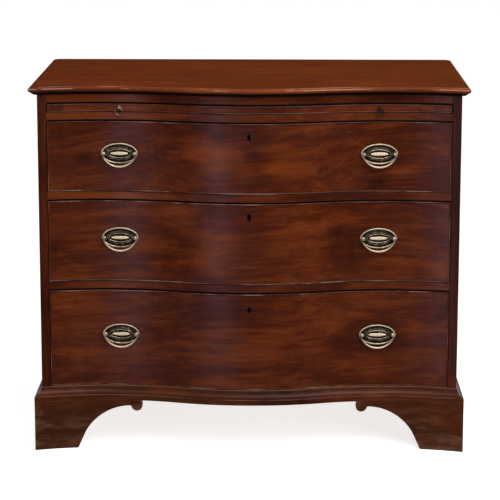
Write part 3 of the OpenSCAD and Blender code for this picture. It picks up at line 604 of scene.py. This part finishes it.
def build_top():
    """Board whose edge runs round the front and both ends. The rear corners are eased."""
    edge = [(min(o, 17.99) / 1000, min(z, 20.0) / 1000) for o, z in spline(TOP_EDGE, 3)]
    nx, ny = 168, 60
    ts = [lerp(-1, 1, i / nx) for i in range(nx + 1)]
    ss = [(j / ny) ** 1.25 for j in range(ny)] + [0.984, 0.988, 0.992, 0.995, 0.9975, 1.0]
    verts, wear = [], []

    def point(t, s, out, z):
        x = t * (HALF_W + out)
        y = lerp(plan(x, out), TOP_BACK, s)
        back = max(0.0, y - TOP_BACK + CORNER_R)
        ease = CORNER_R - math.sqrt(max(0.0, CORNER_R ** 2 - back ** 2))
        return x - t * ease, y, TOP_Z + z

    def ring(out, z):
        pts = [point(-1, s, out, z) for s in ss[::-1]]
        pts += [point(t, 0, out, z) for t in ts[1:]]
        pts += [point(1, s, out, z) for s in ss[1:]]
        return pts + [point(t, 1, out, z) for t in ts[-2:0:-1]]

    for out, z in edge:
        h = z * 1000
        # Up the edge: rubbed patches at the upper arris and the nose, which are also painted
        # highlights, and below zero under the nose, painted shade
        w = 0.7 * max(0.0, 1 - abs(h - 19.2) / 0.7) + max(0.0, 1 - abs(h - 14.8) / 1.5)
        w -= 0.92 * min(1.0, max(0.0, (9.5 - h) / 3.5))
        for p in ring(out, z):
            d = wobble(p, 16, 0.00035) + wobble(p, 60, 0.00012)
            k = min(1.0, max(0.0, w)) * (1 if p[1] < 0.28 else 0)
            y = max(p[1] + abs(d) * 0.8 * k, cad_box[0][1])
            verts.append((p[0] * (1 - abs(d) * k), y, p[2] - abs(d) * k))
            wear.append(min(1.0, w) if p[1] < 0.285 else 0.0)
    faces = grid_faces(len(edge), len(verts) // len(edge), wrap_cols=True)
    mats = [1] * len(faces)
    low = edge[0][0] + 0.0002, edge[0][1]
    for (out, z), columns, lines in ((edge[-1], ts, ss), (low, ts[::4], ss[::6])):
        sheet = grid_faces(len(lines), len(columns), base=len(verts))
        verts += [point(t, s, out, z) for s in lines for t in columns]
        faces += sheet
        mats += [0] * len(sheet)
    wear += [0.0] * (len(verts) - len(wear))
    make("top_with_moulded_edge", (verts, faces, wear, mats), "carcass",
         [top_wood, top_edge_wood], 40, ["top_board"])


build_top()

# carcass


def build_side(side, which):
    """A side with its serpentine front arris, rebated for the back boards."""
    ys = plan(HALF_W), plan(OPEN_X)
    outline = [(HALF_W, ys[0]), (HALF_W, BACK_Y), (OPEN_X + 0.010, BACK_Y),
               (OPEN_X + 0.010, BOARD_Y), (OPEN_X, BOARD_Y), (OPEN_X, ys[1])]
    pts = fillet(outline, (0.0014, 0.0012, 0.0003, 0, 0, 0.0010))
    # Below zero along the inner front arris: dirt and painted shade of the gap beside the drawers
    pts = [(x, y, -1.0 if x < OPEN_X + 0.0011 and y < 0 else w) for x, y, w in pts]
    pts += [(x, plan(x), -0.5 if x < OPEN_X + 0.0015 else 0.0)
            for x in [OPEN_X + 0.0012] + stations(OPEN_X + 0.002, HALF_W - 0.002, 0.003)]
    gaps = [(SLIDE_Z, SLIDE_Z + SLIDE_T)] + [(z, z + h) for z, h in zip(OPEN_Z, OPEN_H)]
    edges = [e + d for gap in gaps for e in gap for d in (-0.0006, 0.0006)]
    zs = sorted(stations(BASE_Z, TOP_Z, 0.012) + edges)

    def point(x, y, z, w):
        d = abs(wobble((x, y, z), 22, 0.0006)) * max(w, 0)
        # The painted shade and dirt stay only beside the openings
        if w < 0 and not any(a < z < b for a, b in gaps):
            w = 0.0
        x = side * (x - d if x > 0.48 else x)
        return ((x, y + d, z), w) if y < 0 else ((x, y - d, z), 0.4 * w)

    part = loft([[point(x, y, z, w) for x, y, w in pts] for z in zs])
    board = make(f"side_board_{which}", part, "carcass", [stiles, flank_wood], 40,
                 [f"side_{which}"])
    for face in board.data.polygons:
        if face.material_index == 0 and face.normal.x * side > 0.9:
            face.material_index = 1


for side, which in SIDES:
    build_side(side, which)


def rail_section(z0, z1, upper, r=0.0012):
    pts = fillet([(0, z0), (0, z1), (-0.03, z1), (-0.03, z0)], (r, r, 0, 0), 6)
    # Below zero at the lower arris, low on the face and at the upper arris: dirt and painted shade
    # of the gaps
    low = [(a, b, -1.0) for a, b, _ in pts if a > -0.02 and b < (z0 + z1) / 2]
    high = [(a, b, upper * min(1, 0.4 + abs(a) / r)) for a, b, _ in pts
            if a > -0.02 and b > (z0 + z1) / 2]
    mid = [(0, lerp(z0 + r, z1 - r, k / 16), -0.8 if k == 1 else 0.0) for k in range(1, 16)]
    return low + mid + high + [("y", RAIL_Y, z1), ("y", RAIL_Y, z0)]


def cut_mortise(obj, z):
    """Slot for the lock bolt in the underside of a rail."""
    bm = bmesh.new()
    bmesh.ops.create_cube(bm, size=1)
    for v in bm.verts:
        v.co = Vector((v.co.x * 0.026, v.co.y * 0.008 - 0.257, v.co.z * 0.02 + z - 0.001))
    mesh = bpy.data.meshes.new("cutter")
    bm.to_mesh(mesh)
    bm.free()
    cutter = add_object("cutter", mesh)
    mod = obj.modifiers.new("mortise", "BOOLEAN")
    mod.operation, mod.solver, mod.object = "DIFFERENCE", "EXACT", cutter
    done = bpy.data.meshes.new_from_object(
        obj.evaluated_get(bpy.context.evaluated_depsgraph_get()))
    obj.modifiers.clear()
    obj.data = done
    weigh_normals(obj)
    bpy.data.objects.remove(cutter)


for name, node, z0, z1 in (("rail_above_slide", "top_rail", TOP_RAIL_Z, TOP_Z),
                           ("rail_below_slide", "slide_rail", SLIDE_RAIL_Z, SLIDE_Z),
                           ("rail_upper", "rail_1_2", OPEN_Z[0] - RAIL_T, OPEN_Z[0]),
                           ("rail_lower", "rail_2_3", OPEN_Z[1] - RAIL_T, OPEN_Z[1])):
    # The slide rail's upper arris is darkest: painted shade of the gap under the slide, with dirt
    upper = -1.0 if node == "slide_rail" else -0.4
    o = sweep(name, rail_section(z0, z1, upper), -OPEN_X, OPEN_X, "carcass",
              top_rail_shadow_wood if node == "top_rail" else rails, [node], 0.0004)
    if node != "top_rail":
        cut_mortise(o, z0)

# base moulding and feet


def base_outline():
    z, foot, out = BASE_Z * 1000, FOOT_H * 1000, BASE_OUT * 1000
    cove = spline([(14.1, z + 1.2), (10.6, z + 2.6), (7.4, z + 5), (4.8, z + 8.4),
                   (3.0, z + 12.6), (2.2, z + 16.6), (2.1, z + 18.2)], 3)
    pts = fillet([(-40, foot), (out, foot), (out, z), (14.3, z)], (0, 0.3, 1.1, 0.2), 4)[1:]
    pts += [(a, b, 0.0) for a, b in cove] + [(1.4, z + 19.0, 0.25), (0.8, z + 19.6, 0.25)]
    pts += [(a, b, 0.0) for a, b in ((0, z + 19.6), (0, z), (-40, z), (-40, foot))]
    return [(a / 1000, b / 1000, w) for a, b, w in pts]


BASE = base_outline()
sweep("base_moulding_along_front", BASE, -HALF_W, HALF_W, "carcass", base_wood,
      ["base_moulding_front"], 0.0004, flare=True)


def base_side_point(side, share, out, z, w):
    """Point and wear of a side strip, at a share of the way from its mitre to the back."""
    x = HALF_W + out
    y = lerp(plan(x, out) + 0.0001, BACK_Y, share)
    d = wobble((x * side, y, z), 18, 0.0004) * w
    return (side * (x - abs(d)), y, z - abs(d) * 0.5), w


def build_base_sides():
    parts = [loft([[base_side_point(side, share, *p) for p in BASE]
                   for share in stations(0, 1, 1 / 60)]) for side, _ in SIDES]
    make("base_moulding_along_sides", join(parts)[:3], "carcass", base_side_wood, 35,
         ["base_moulding_sides"])


build_base_sides()

KNOB_R, FRONT_REACH, SIDE_REACH, BRACKET_T, FOOT_W = 13.5, 253.5, 220.0, 22.0, 100.0


def bracket_outline(reach):
    """Bracket seen from its face, in mm: u inward from the corner, z up."""
    ku, kz, top, hu, hz = reach - KNOB_R, 105.0, 103.8, FOOT_W + 19, 41.7
    run, rise = ku - 11.5 - hu, top - hz
    r = (rise * rise + run * run) / (2 * rise)
    cu, cz = hu + run, top - r
    a0 = math.atan2(hz - cz, hu - cu)
    arc = []
    for k in range(61):
        a = lerp(a0, math.pi / 2 - 0.02, k / 60)
        p = (cu + r * math.cos(a), cz + r * math.sin(a))
        if math.hypot(p[0] - ku, p[1] - kz) < KNOB_R:
            break
        arc.append(p)
    s0 = math.atan2(arc[-1][1] - kz, arc[-1][0] - ku) % (2 * math.pi)
    s1 = 2 * math.pi + math.asin(9.6 / KNOB_R)
    knob = [(ku + KNOB_R * math.cos(a), kz + KNOB_R * math.sin(a))
            for a in (lerp(s0, s1, k / 28) for k in range(1, 29))]
    high = FOOT_H * 1000
    return ([(u, 0) for u in range(0, int(FOOT_W) + 1, 10)]
            + [(lerp(FOOT_W, hu, k / 4), lerp(0, hz, k / 4)) for k in range(1, 4)]
            + arc + knob + [(reach - 4, high)]
            + [(u, high) for u in range(int(reach) - 14, 4, -10)] + [(0, high)]
            + [(0, z) for z in range(int(high) - 10, 5, -10)])


def bracket_mesh(outline, to_world, depth=BRACKET_T, r=1.1):
    """Bracket with rounded front arrises, cut into strips so that it can follow a curve."""
    bm = bmesh.new()
    layer = bm.verts.layers.float.new("wear")
    area = sum(outline[i - 1][0] * outline[i][1] - outline[i][0] * outline[i - 1][1]
               for i in range(len(outline)))
    turn = 1 if area > 0 else -1
    n = len(outline)
    normals = []
    for i in range(n):
        a, b, c = (Vector(outline[(i + k) % n]) for k in (-1, 0, 1))
        e = (b - a).normalized() + (c - b).normalized()
        normals.append(Vector((-e.y, e.x)).normalized() * turn)
    rings = []
    high = FOOT_H * 1000
    for inset, d, w in ((r, 0, 0.3), (r * 0.45, r * 0.12, 0.9), (r * 0.12, r * 0.45, 1.0),
                        (0, r, 0.4), (0, depth * 0.4, 0), (0, depth, 0)):
        ring = []
        for (u, z), m in zip(outline, normals):
            top = z > high - 0.01
            k = 0.0 if top else inset
            v = bm.verts.new((u + m.x * k, d, min(z + m.y * k, high)))
            v[layer] = 0.0 if top else w
            ring.append(v)
        rings.append(ring)
    for a, b in zip(rings, rings[1:]):
        for i in range(n):
            bm.faces.new((a[i - 1], a[i], b[i], b[i - 1]))
    caps = [bm.faces.new(rings[0]), bm.faces.new(rings[-1][::-1])]
    bm.normal_update()
    bmesh.ops.triangulate(bm, faces=caps, ngon_method="EAR_CLIP")
    for u in range(8, 250, 8):
        geom = bm.verts[:] + bm.edges[:] + bm.faces[:]
        bmesh.ops.bisect_plane(bm, geom=geom, plane_co=(u + 0.37, 0, 0), plane_no=(1, 0, 0))
    for v in bm.verts:
        v.co = Vector(to_world(v.co.x, v.co.y, v.co.z))
    bm.verts.index_update()
    verts = [tuple(v.co) for v in bm.verts]
    wear = [v[layer] for v in bm.verts]
    faces = [tuple(v.index for v in f.verts) for f in bm.faces]
    bm.free()
    return verts, faces, wear


OUT_X = HALF_W + BASE_OUT
CORNER_Y = plan(OUT_X, BASE_OUT)
MITRE = (plan(OUT_X - BRACKET_T / 1000, BASE_OUT - BRACKET_T / 1000) - CORNER_Y) / BRACKET_T


def build_foot(name, side, front):
    def on_front(u, d, z):
        u = u + d * max(0.0, 1 - u / 40)
        x = OUT_X - u / 1000
        return side * x, plan(x, BASE_OUT - d / 1000), z / 1000

    def on_side(u, d, z):
        y = u / 1000 + (MITRE * d + 0.0002) * max(0.0, 1 - u / 50)
        return side * (OUT_X - d / 1000), CORNER_Y + y, z / 1000

    def on_rear(u, d, z):
        return side * (OUT_X - d / 1000), BACK_Y - u / 1000, z / 1000

    parts = [bracket_mesh(bracket_outline(SIDE_REACH), on_side if front else on_rear)]
    if front:
        parts.append(bracket_mesh(bracket_outline(FRONT_REACH), on_front))
    else:
        outline = [(22.2, 0), (90, 0), (150, 117), (22.2, 117)]
        outline = [p for i, a in enumerate(outline) for p in
                   [tuple(Vector(a).lerp(Vector(outline[(i + 1) % 4]), k / 6))
                    for k in range(6)]]
        parts.append(bracket_mesh(outline, lambda u, d, z: (
            side * (OUT_X - u / 1000), BACK_Y - d / 1000, z / 1000), 18, 0.8))
    make(name, join(parts), "carcass", [foot_side_wood, foot_wood if front else pine_x], 38,
         [name.replace("bracket_", "")])


for side, which in SIDES:
    build_foot(f"bracket_foot_front_{which}", side, True)
    build_foot(f"bracket_foot_rear_{which}", side, False)

# brushing slide


def slide_wear(h, rub):
    """Wear at h mm from an edge of the slide: dirt and painted shade in the gap, then a rubbed
    bead.
    """
    return -1.0 if h < 1.30 else rub * max(0.0, 1 - abs(h - 2.0) / 0.8)


def slide_outline():
    z, t = SLIDE_Z * 1000, SLIDE_T * 1000
    half = [(-1.6, 0), (-1.5, 0.8), (-0.6, 1.2), (0, 2.1), (-0.3, 2.9), (-1, 3.4)]
    low = spline([(a, z + b) for a, b in half], 3)
    up = spline([(a, z + t - b) for a, b in half[::-1]], 3)
    flat = [(-1, lerp(z + 3.4, z + t - 3.4, k / 10)) for k in range(1, 10)]
    pts = [(a, b, slide_wear(b - z, 0.9)) for a, b in low]
    # Below zero beside the beads: dirt and painted shade
    pts += [(a, b, -0.6 if k in (0, 8) else 0.0) for k, (a, b) in enumerate(flat)]
    pts += [(a, b, slide_wear(z + t - b, 0.9)) for a, b in up]
    pts = [(a / 1000, b / 1000, w) for a, b, w in pts]
    depth = [("y", y, (z + t) / 1000) for y in (-0.19, -0.1, 0.0, 0.1, SLIDE_BACK)]
    return pts + depth + [("y", y, z / 1000) for y in (SLIDE_BACK, 0.1, 0.0, -0.1, -0.19)]


SLIDE = slide_outline()
CLAMP_X = DRAWER_X - CLAMP_W
sweep("slide_panel", SLIDE, -CLAMP_X + 0.0001, CLAMP_X - 0.0001, "brushing_slide", slide_wood,
      ["slide_board"], 0.0003, inside=0.0)


def clamp_point(side, x, s):
    """Point and wear of a clamp at x, where s is a point of the slide's section."""
    if s[0] == "y":
        return (side * x, s[1], s[2]), 0.0
    end = slide_wear(1000 * (DRAWER_X - x) + 0.1, 0.8)
    # Dirt and painted shade in the gaps at the clamp's end and at its joint with the panel
    if end < 0 or x < CLAMP_X + 0.0002:
        worn = -1.0
    else:
        worn = max(s[2], end) if s[2] >= 0 else s[2]
    return (side * x, plan(x, s[0]), s[1]), worn


def build_clamps():
    xs = [CLAMP_X, CLAMP_X + 0.0006] + stations(CLAMP_X + 0.002, DRAWER_X - 0.005, 0.004)
    xs += [DRAWER_X - e for e in (0.0036, 0.0028, 0.0020, 0.0014, 0.0010, 0.0)]
    parts = [loft([[clamp_point(side, x, s) for s in SLIDE] for x in xs]) for side, _ in SIDES]
    make("slide_end_clamps", join(parts)[:3], "brushing_slide", slide_end_wood, 35,
         ["slide_clamps"])


build_clamps()

# brass


def eye_bead(hole, r):
    """Turned bead with a hole along X."""
    w = r * 0.85
    right = [(w * 0.42, r * 0.96), (w * 0.72, r * 0.85), (w * 0.93, r * 0.66), (w, r * 0.55),
             (w, hole)]
    left = [(-a, b) for a, b in right[::-1]]
    return lathe(left + [(0, r)] + right + left[:1], 32, "x")


def collar_post(axis_out, eye_r, hole, base_r, lift, back):
    """Post from behind the wood to the eye, with a turned collar on the plate."""
    reach = axis_out - eye_r * 0.72
    pts = [(back, 0.0), (back, 0.002), (-lift, 0.002), (-lift, base_r), (-lift - 0.0006, base_r),
           (-lift - 0.0011, base_r * 0.82), (-lift - 0.0015, 0.0021), (-reach, 0.002),
           (-reach, 0.0)]
    return join([lathe(pts, 28), moved(eye_bead(hole, eye_r), dy=-axis_out)])[:2]


def along(keys, d):
    """Value at d on a smooth line through (d, value) keys."""
    for (a, ha), (b, hb) in zip(keys, keys[1:]):
        if d <= b:
            t = (d - a) / (b - a)
            return lerp(ha, hb, t * t * (3 - 2 * t))
    return keys[-1][1]


# lift of the stamped plate, its wear and its half width, by mm in from its rim; the wear is
# rubbed on the rim and the boss, polish and painted highlight, below zero at the skirt, dirt
# and painted shadow, and below zero in the hollows, dirt
PLATE_LIFT = [(0, 1.75), (0.35, 2.9), (1.2, 3.75), (2.0, 3.9), (2.9, 3.65), (3.9, 2.9),
              (4.9, 2.45), (6.0, 2.6), (8.0, 3.3), (10.5, 4.25), (12.0, 4.5), (12.9, 4.25),
              (13.5, 4.15), (14.1, 4.7), (14.8, 5.05), (15.5, 4.75), (16.2, 3.8), (17.2, 3.5),
              (19.2, 3.6), (20.4, 4.4), (21.6, 5.2), (22.8, 5.6), (24, 5.75), (25, 5.8)]
PLATE_WEAR = [(0, -1.0), (0.7, -0.9), (1.1, 0.6), (1.7, 1.0), (3.0, 1.0), (3.6, -0.3), (4.3, -1.0),
              (8.0, -1.0), (9.5, -0.80), (11.6, -0.68), (12.4, -0.85), (13.3, -1.0), (14.0, -0.85),
              (14.5, 0.3), (15.2, 0.3), (15.8, -1.0), (20.0, -1.0), (20.9, -0.7), (21.7, 0.9),
              (22.6, 1.0), (25, 1.0)]
PLATE_A = [(0, 43.5), (4, 39.5), (12, 28.6), (14.9, 25.9), (18.5, 23.2), (21.6, 20.6), (25, 18.6)]


def oval_plate():
    """Stamped plate, ring by ring from its back to its middle."""
    high, turns = 25.0, 112
    ds = [0.4 * k for k in range(30)] + [12 + 0.25 * k for k in range(20)]
    ds += [17 + 0.4 * k for k in range(20)]

    def ring(d, h, w):
        a, b = along(PLATE_A, d) / 1000, max(high - d, 0.05) / 1000
        points = []
        for k in range(turns):
            t = 2 * math.pi * k / turns
            # The rim is rubbed most along its top: painted highlight there
            rub = 1.0 if w < 0 or d > 12 else 0.62 + 0.38 * math.sin(t)
            points.append(((a * math.cos(t), -h / 1000, b * math.sin(t)), w * rub))
        return points

    return loft([ring(0, 1.65, -0.9)]
                + [ring(d, along(PLATE_LIFT, d), along(PLATE_WEAR, d)) for d in ds])


def bail_part():
    """Swing handle: rod with knuckles and pins, in the frame of its handle."""
    end = POST_X + 0.0048
    r = (end * end + BAIL_DROP ** 2) / (2 * BAIL_DROP)
    rise = r - BAIL_DROP
    half = math.asin(end / r) if rise >= 0 else math.pi - math.asin(end / r)
    path, radii = [], []
    for k in range(73):
        a = lerp(-half, half, k / 72)
        path.append((r * math.sin(a), -BAIL_AXIS, rise - r * math.cos(a)))
        t = abs(a) / half
        radii.append(BAIL_R * (1.0 - 0.16 * t ** 2 - 0.10 * math.exp(-((t - 0.8) / 0.06) ** 2)
                               + 0.02 * math.exp(-(t / 0.08) ** 2)) * 0.90)
    parts = [tube(path, radii, 20)]
    for s in (-1, 1):
        pin = [(s * (POST_X - 0.003), 0.0), (s * (POST_X - 0.003), BAIL_PIN * 0.8),
               (s * (POST_X - 0.0026), BAIL_PIN), (s * end, BAIL_PIN), (s * end, 0.0)]
        parts.append(moved(lathe(pin, 20, "x"), dy=-BAIL_AXIS))
        kr = BAIL_R + 0.0002
        ball = [(kr * math.sin(q), kr * math.cos(q))
                for q in stations(-math.pi / 2, math.pi / 2, math.pi / 14)]
        parts.append(moved(lathe(ball, 24, "x"), dx=s * end, dy=-BAIL_AXIS))
    return join(parts)[:2]


PLATE = oval_plate()
BAIL = bail_part()
BAIL_WEAR = [0.9 - 0.7 * abs(p[0] / POST_X) ** 3 for p in BAIL[0]]
POST_WEAR = 0.3
NUT = lathe([(0.02145, 0.0021), (0.02145, 0.0060), (0.0251, 0.0060), (0.02545, 0.0055),
             (0.02545, 0.0021)], 24)
POST = collar_post(BAIL_AXIS, 0.0044, BAIL_PIN + 0.0001, 0.0034, 0.0035, 0.029)

for i in range(3):
    d = f"drawer_{i + 1}"
    z = OPEN_Z[i] + HANDLE_SHARE * OPEN_H[i]
    plates, posts = [], []
    for side, which in SIDES:
        m = handle_matrix(side, z)
        plates.append(place(PLATE, m))
        for s in (-1, 1):
            for part in (POST, NUT):
                posts.append(place(moved(part, dx=s * POST_X), m))
        make(f"{d}_swing_handle_{which}", (*place(BAIL, m), BAIL_WEAR),
             f"{d}_bail_{which}", brass, 45, [f"{d}_bail_{which}"])
    make(f"{d}_oval_plates", join(plates)[:3], d, brass, 50, [f"{d}_handle_plates"], dirt_and_shade_matt=False)
    v, f = join(posts)[:2]
    make(f"{d}_turned_posts", (v, f, [POST_WEAR] * len(v)), d, brass, 45,
         [f"{d}_handle_posts"])


def ring_part():
    turns = [2 * math.pi * k / 72 for k in range(72)]
    path = [(RING_R * math.sin(t), -RING_AXIS, -RING_R - RING_R * math.cos(t)) for t in turns]
    radii = [RING_WIRE * (0.97 + 0.03 * math.cos(t)) for t in turns]
    return tube(path, radii, 16, closed=True)


RING = ring_part()
ROSE = lathe([(0.0009, 0.0), (0.0009, 0.005), (-0.0004, 0.005), (-0.0009, 0.0043),
              (-0.0011, 0.0034), (-0.0009, 0.0027), (-0.0011, 0.0022), (-0.0011, 0.0)], 32)
SLIDE_POST = join([ROSE, collar_post(RING_AXIS, 0.0039, RING_WIRE + 0.0008, 0.0026, 0.0010,
                                     0.020)])
ring_posts = []
for (side, which), mat in zip(SIDES, (brass_worn, brass_dark)):
    m = handle_matrix(side, SLIDE_Z + SLIDE_T / 2)
    ring_posts.append(place(SLIDE_POST, m))
    make(f"ring_pull_{which}", place(RING, m), f"slide_ring_{which}", mat, 45,
         [f"slide_ring_{which}"])
make("ring_pull_posts", join(ring_posts), "brushing_slide", [brass_worn, brass_dark], 45,
     ["slide_ring_posts"])


def key_outline(grow):
    """Keyhole seen from the front: a round hole over a slot."""
    r, half, low = 2.6 + grow, 1.7 + grow, -6 - grow
    a = math.asin(half / r)
    pts = []
    for k in range(25):
        t = lerp(-math.pi / 2 + a, 1.5 * math.pi - a, k / 24)
        pts.append((r * math.cos(t), 4 + r * math.sin(t)))
    pts += [(-half, lerp(2, low, k / 6)) for k in range(1, 7)]
    return pts + [(half, lerp(low, 2, k / 6)) for k in range(1, 7)]


def build_lining(i):
    rows = []
    for grow, y in ((0, 0.006), (0, 0.0), (0.25, -0.00015), (2.45, -0.00015), (2.6, -0.00002),
                    (1.6, -0.00002), (1.6, 0.006)):
        rows.append([(x / 1000, plan(x / 1000) + y, KEY_Z[i] + z / 1000)
                     for x, z in key_outline(grow)])
    verts = [p for r in rows for p in r]
    n = len(rows[0])
    faces = grid_faces(len(rows), n, wrap_cols=True, wrap_rows=True)
    # The lining is darkened all over, least at the foot of the slot
    wear = [-0.5 if p[2] < KEY_Z[i] - 0.0074 else -1.0 for p in verts]
    make(f"drawer_{i + 1}_keyhole_thread", (verts, faces, wear), f"drawer_{i + 1}",
         brass_black, 40, [f"drawer_{i + 1}_keyhole_lining"])


# cockbeads

def bead_section():
    """Half-round bead: across, out and wear, from one foot to the other. The crown is rubbed, wear
    and painted highlight, and the feet are below zero, dirt and painted shade in the gaps.
    """
    pts = [(0.0, BEAD_OUT * 0.35, -1.0)]
    for k in range(9):
        a = math.pi * k / 8
        pts.append((BEAD_T * (0.5 - 0.5 * math.cos(a)), BEAD_OUT * (0.4 + 0.6 * math.sin(a)),
                    math.sin(a) ** 1.5 - 0.9 * (1 - math.sin(a)) ** 2))
    return pts


def build_beads(i):
    z0, z1 = OPEN_Z[i] + 0.001, OPEN_Z[i] + OPEN_H[i] - 0.0015
    section = bead_section()

    def across_ring(x, z):
        d = 0.0001 + abs(wobble((x, z * 9, 0), 38, 0.0006))
        ring = [((x, plan(x, out) + d * w, z + over), w) for over, out, w in section]
        return ring + [((x, plan(x, -BEAD_IN), high), -1.0) for high in (z + BEAD_T, z)]

    def upright_ring(side, z):
        ring = []
        for over, out, w in section:
            x = DRAWER_X - BEAD_T + over
            d = 0.0001 + abs(wobble((side, over, z * 3), 16, 0.0005))
            ring.append(((side * x, plan(x, out) + d * w, z), w))
        return ring + [((side * x, plan(x, -BEAD_IN), z), -1.0)
                       for x in (DRAWER_X, DRAWER_X - BEAD_T)]

    xs = stations(-DRAWER_X, DRAWER_X, 0.005)
    zs = stations(z0 + BEAD_T + 0.0001, z1 - BEAD_T - 0.0001, 0.006)
    parts = [loft([across_ring(x, z) for x in xs]) for z in (z0, z1 - BEAD_T)]
    parts += [loft([upright_ring(side, z) for z in zs]) for side, _ in SIDES]
    verts, faces, wear, numbers = join(parts)
    mats = [int(k > 1) for k in numbers]
    make(f"drawer_{i + 1}_bead_strips", (verts, faces, wear, mats), f"drawer_{i + 1}",
         [beads, beads_up], 50, [f"drawer_{i + 1}_cockbead"])


for i in range(3):
    build_lining(i)
    build_beads(i)

# CAD pieces that stay

KEPT = {"bottom_board": pine_x, "dust_boards": pine_x, "back_boards": pine_back,
        "glue_blocks": pine_z, "runners": oak_y, "stops": oak_x}
for i in range(3):
    d = f"drawer_{i + 1}_"
    KEPT.update({d + "front": fronts[i], d + "sides": oak_y, d + "back": oak_x,
                 d + "bottom": pine_x, d + "lock_case": iron, d + "lock_bolt": brass_plain})
for node, mat in KEPT.items():
    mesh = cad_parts[node].data
    mesh.materials.clear()
    mesh.materials.append(mat)

# floor, lights and camera

FLOOR_GLOW, WORLD_LIGHT, FLOOR_EDGE = 0.75, 0.30, -0.85
CARD_EDGE, CARD_Z, CARD_COLOUR = -0.34, 0.003, (0.004, 0.004, 0.004)


def backdrop_rays(n):
    """1 for the rays that see the backdrop, 0 for those that only carry its light."""
    rays = n.add("ShaderNodeLightPath").outputs
    seen = n.math("MAXIMUM", rays["Is Camera Ray"], rays["Is Glossy Ray"])
    return n.math("MAXIMUM", seen, rays["Is Transmission Ray"])


def floor_material():
    n = Nodes(bpy.data.materials.new("pale_floor"), "ShaderNodeAddShader")
    speck = n.noise(n.scaled(n.place(), (3, 3, 3)), detail=4)
    tint = n.ramp(speck, [(0.3, (0.86, 0.86, 0.86)), (0.7, (0.88, 0.88, 0.88))])
    glow = n.math("MULTIPLY", backdrop_rays(n), FLOOR_GLOW)
    n.fill(n.shader, {0: n.add("ShaderNodeBsdfDiffuse", {"Color": tint}).outputs[0],
                      1: n.add("ShaderNodeEmission", {"Strength": glow}).outputs[0]})
    return n.owner


def flat_sheet(name, low, high, material):
    """A rectangle that lies or stands, from its near or low left corner to the opposite one."""
    mesh = bpy.data.meshes.new(name)
    corners = [low, (high[0], low[1], low[2]), high, (low[0], high[1], high[2])]
    mesh.from_pydata(corners, [], [(0, 1, 2, 3)])
    mesh.materials.append(material)
    sheet = add_object(name, mesh)
    return sheet


# The floor is a white platform that ends in front of the picture
flat_sheet("floor", (-14, FLOOR_EDGE, 0), (14, 20, 0), floor_material())

world = bpy.data.worlds.new("studio")
bpy.context.scene.world = world
sky = Nodes(world, "ShaderNodeBackground", "ShaderNodeOutputWorld")
level = sky.range(backdrop_rays(sky), 0.0, 1.0, WORLD_LIGHT, 1.0, smooth=False)
sky.fill(sky.shader, {"Color": (1, 1, 1, 1), "Strength": level})


def dark_card(name, low, high):
    """A photographer's black card: it stands outside the picture and only reflections see it."""
    card = flat_sheet(name, low, high, matt(name, CARD_COLOUR))
    card.visible_camera = card.visible_diffuse = card.visible_shadow = False


dark_card("dark_card_front", (-14, -7, -5), (14, -7, 8))
dark_card("dark_card_back", (-6, 3, 0.80), (6, 3, 6.0))
dark_card("dark_card_low", (-3, FLOOR_EDGE, CARD_Z), (3, CARD_EDGE, CARD_Z))


def area_light(name, place, target, size, power, colour):
    light = bpy.data.lights.new(name, "AREA")
    light.shape = "RECTANGLE"
    light.size, light.size_y = size
    light.energy = power
    light.color = colour
    obj = add_object(name, light)
    obj.location = place
    obj.rotation_euler = (Vector(target) - Vector(place)).to_track_quat("-Z", "Y").to_euler()
    obj.visible_camera = False
    return obj


WARM, COOL = (1.0, 0.97, 0.93), (0.50, 0.68, 1.0)
area_light("key_overhead", (0.8, -2.2, 3.1), (0, 0, 0.5), (2.8, 2.2), 78, WARM)
fill = area_light("front_fill", (2.6, -3.8, 1.6), (0, -0.2, 0.4), (1.6, 1.8), 45, WARM)
fill.visible_glossy = False
area_light("cool_strip", (-1.74, -6.5, -0.25), (0, -0.25, -0.25), (0.80, 3.6), 16.5, COOL)

# Where the camera stood, from the photograph's framing
CAMERA_AT, YAW, PITCH, ROLL = (0.0572, -4.9945, 1.4815), 0.668, 11.064, 0.068
FOCAL_PX, IMAGE_PX, SENSOR = 2077.0, 500, 36.0
cam = bpy.data.cameras.new("camera")
cam.sensor_width = SENSOR
cam.lens = FOCAL_PX / IMAGE_PX * SENSOR
cam.shift_y = -0.06
camera = add_object("camera", cam)
yaw, tip, roll = (math.radians(a) for a in (YAW, 90 - PITCH, ROLL))
camera.matrix_world = (Matrix.Translation(CAMERA_AT) @ Matrix.Rotation(yaw, 4, "Z")
                       @ Matrix.Rotation(tip, 4, "X") @ Matrix.Rotation(roll, 4, "Z"))
bpy.context.scene.camera = camera
bpy.context.scene.view_settings.view_transform = "Standard"
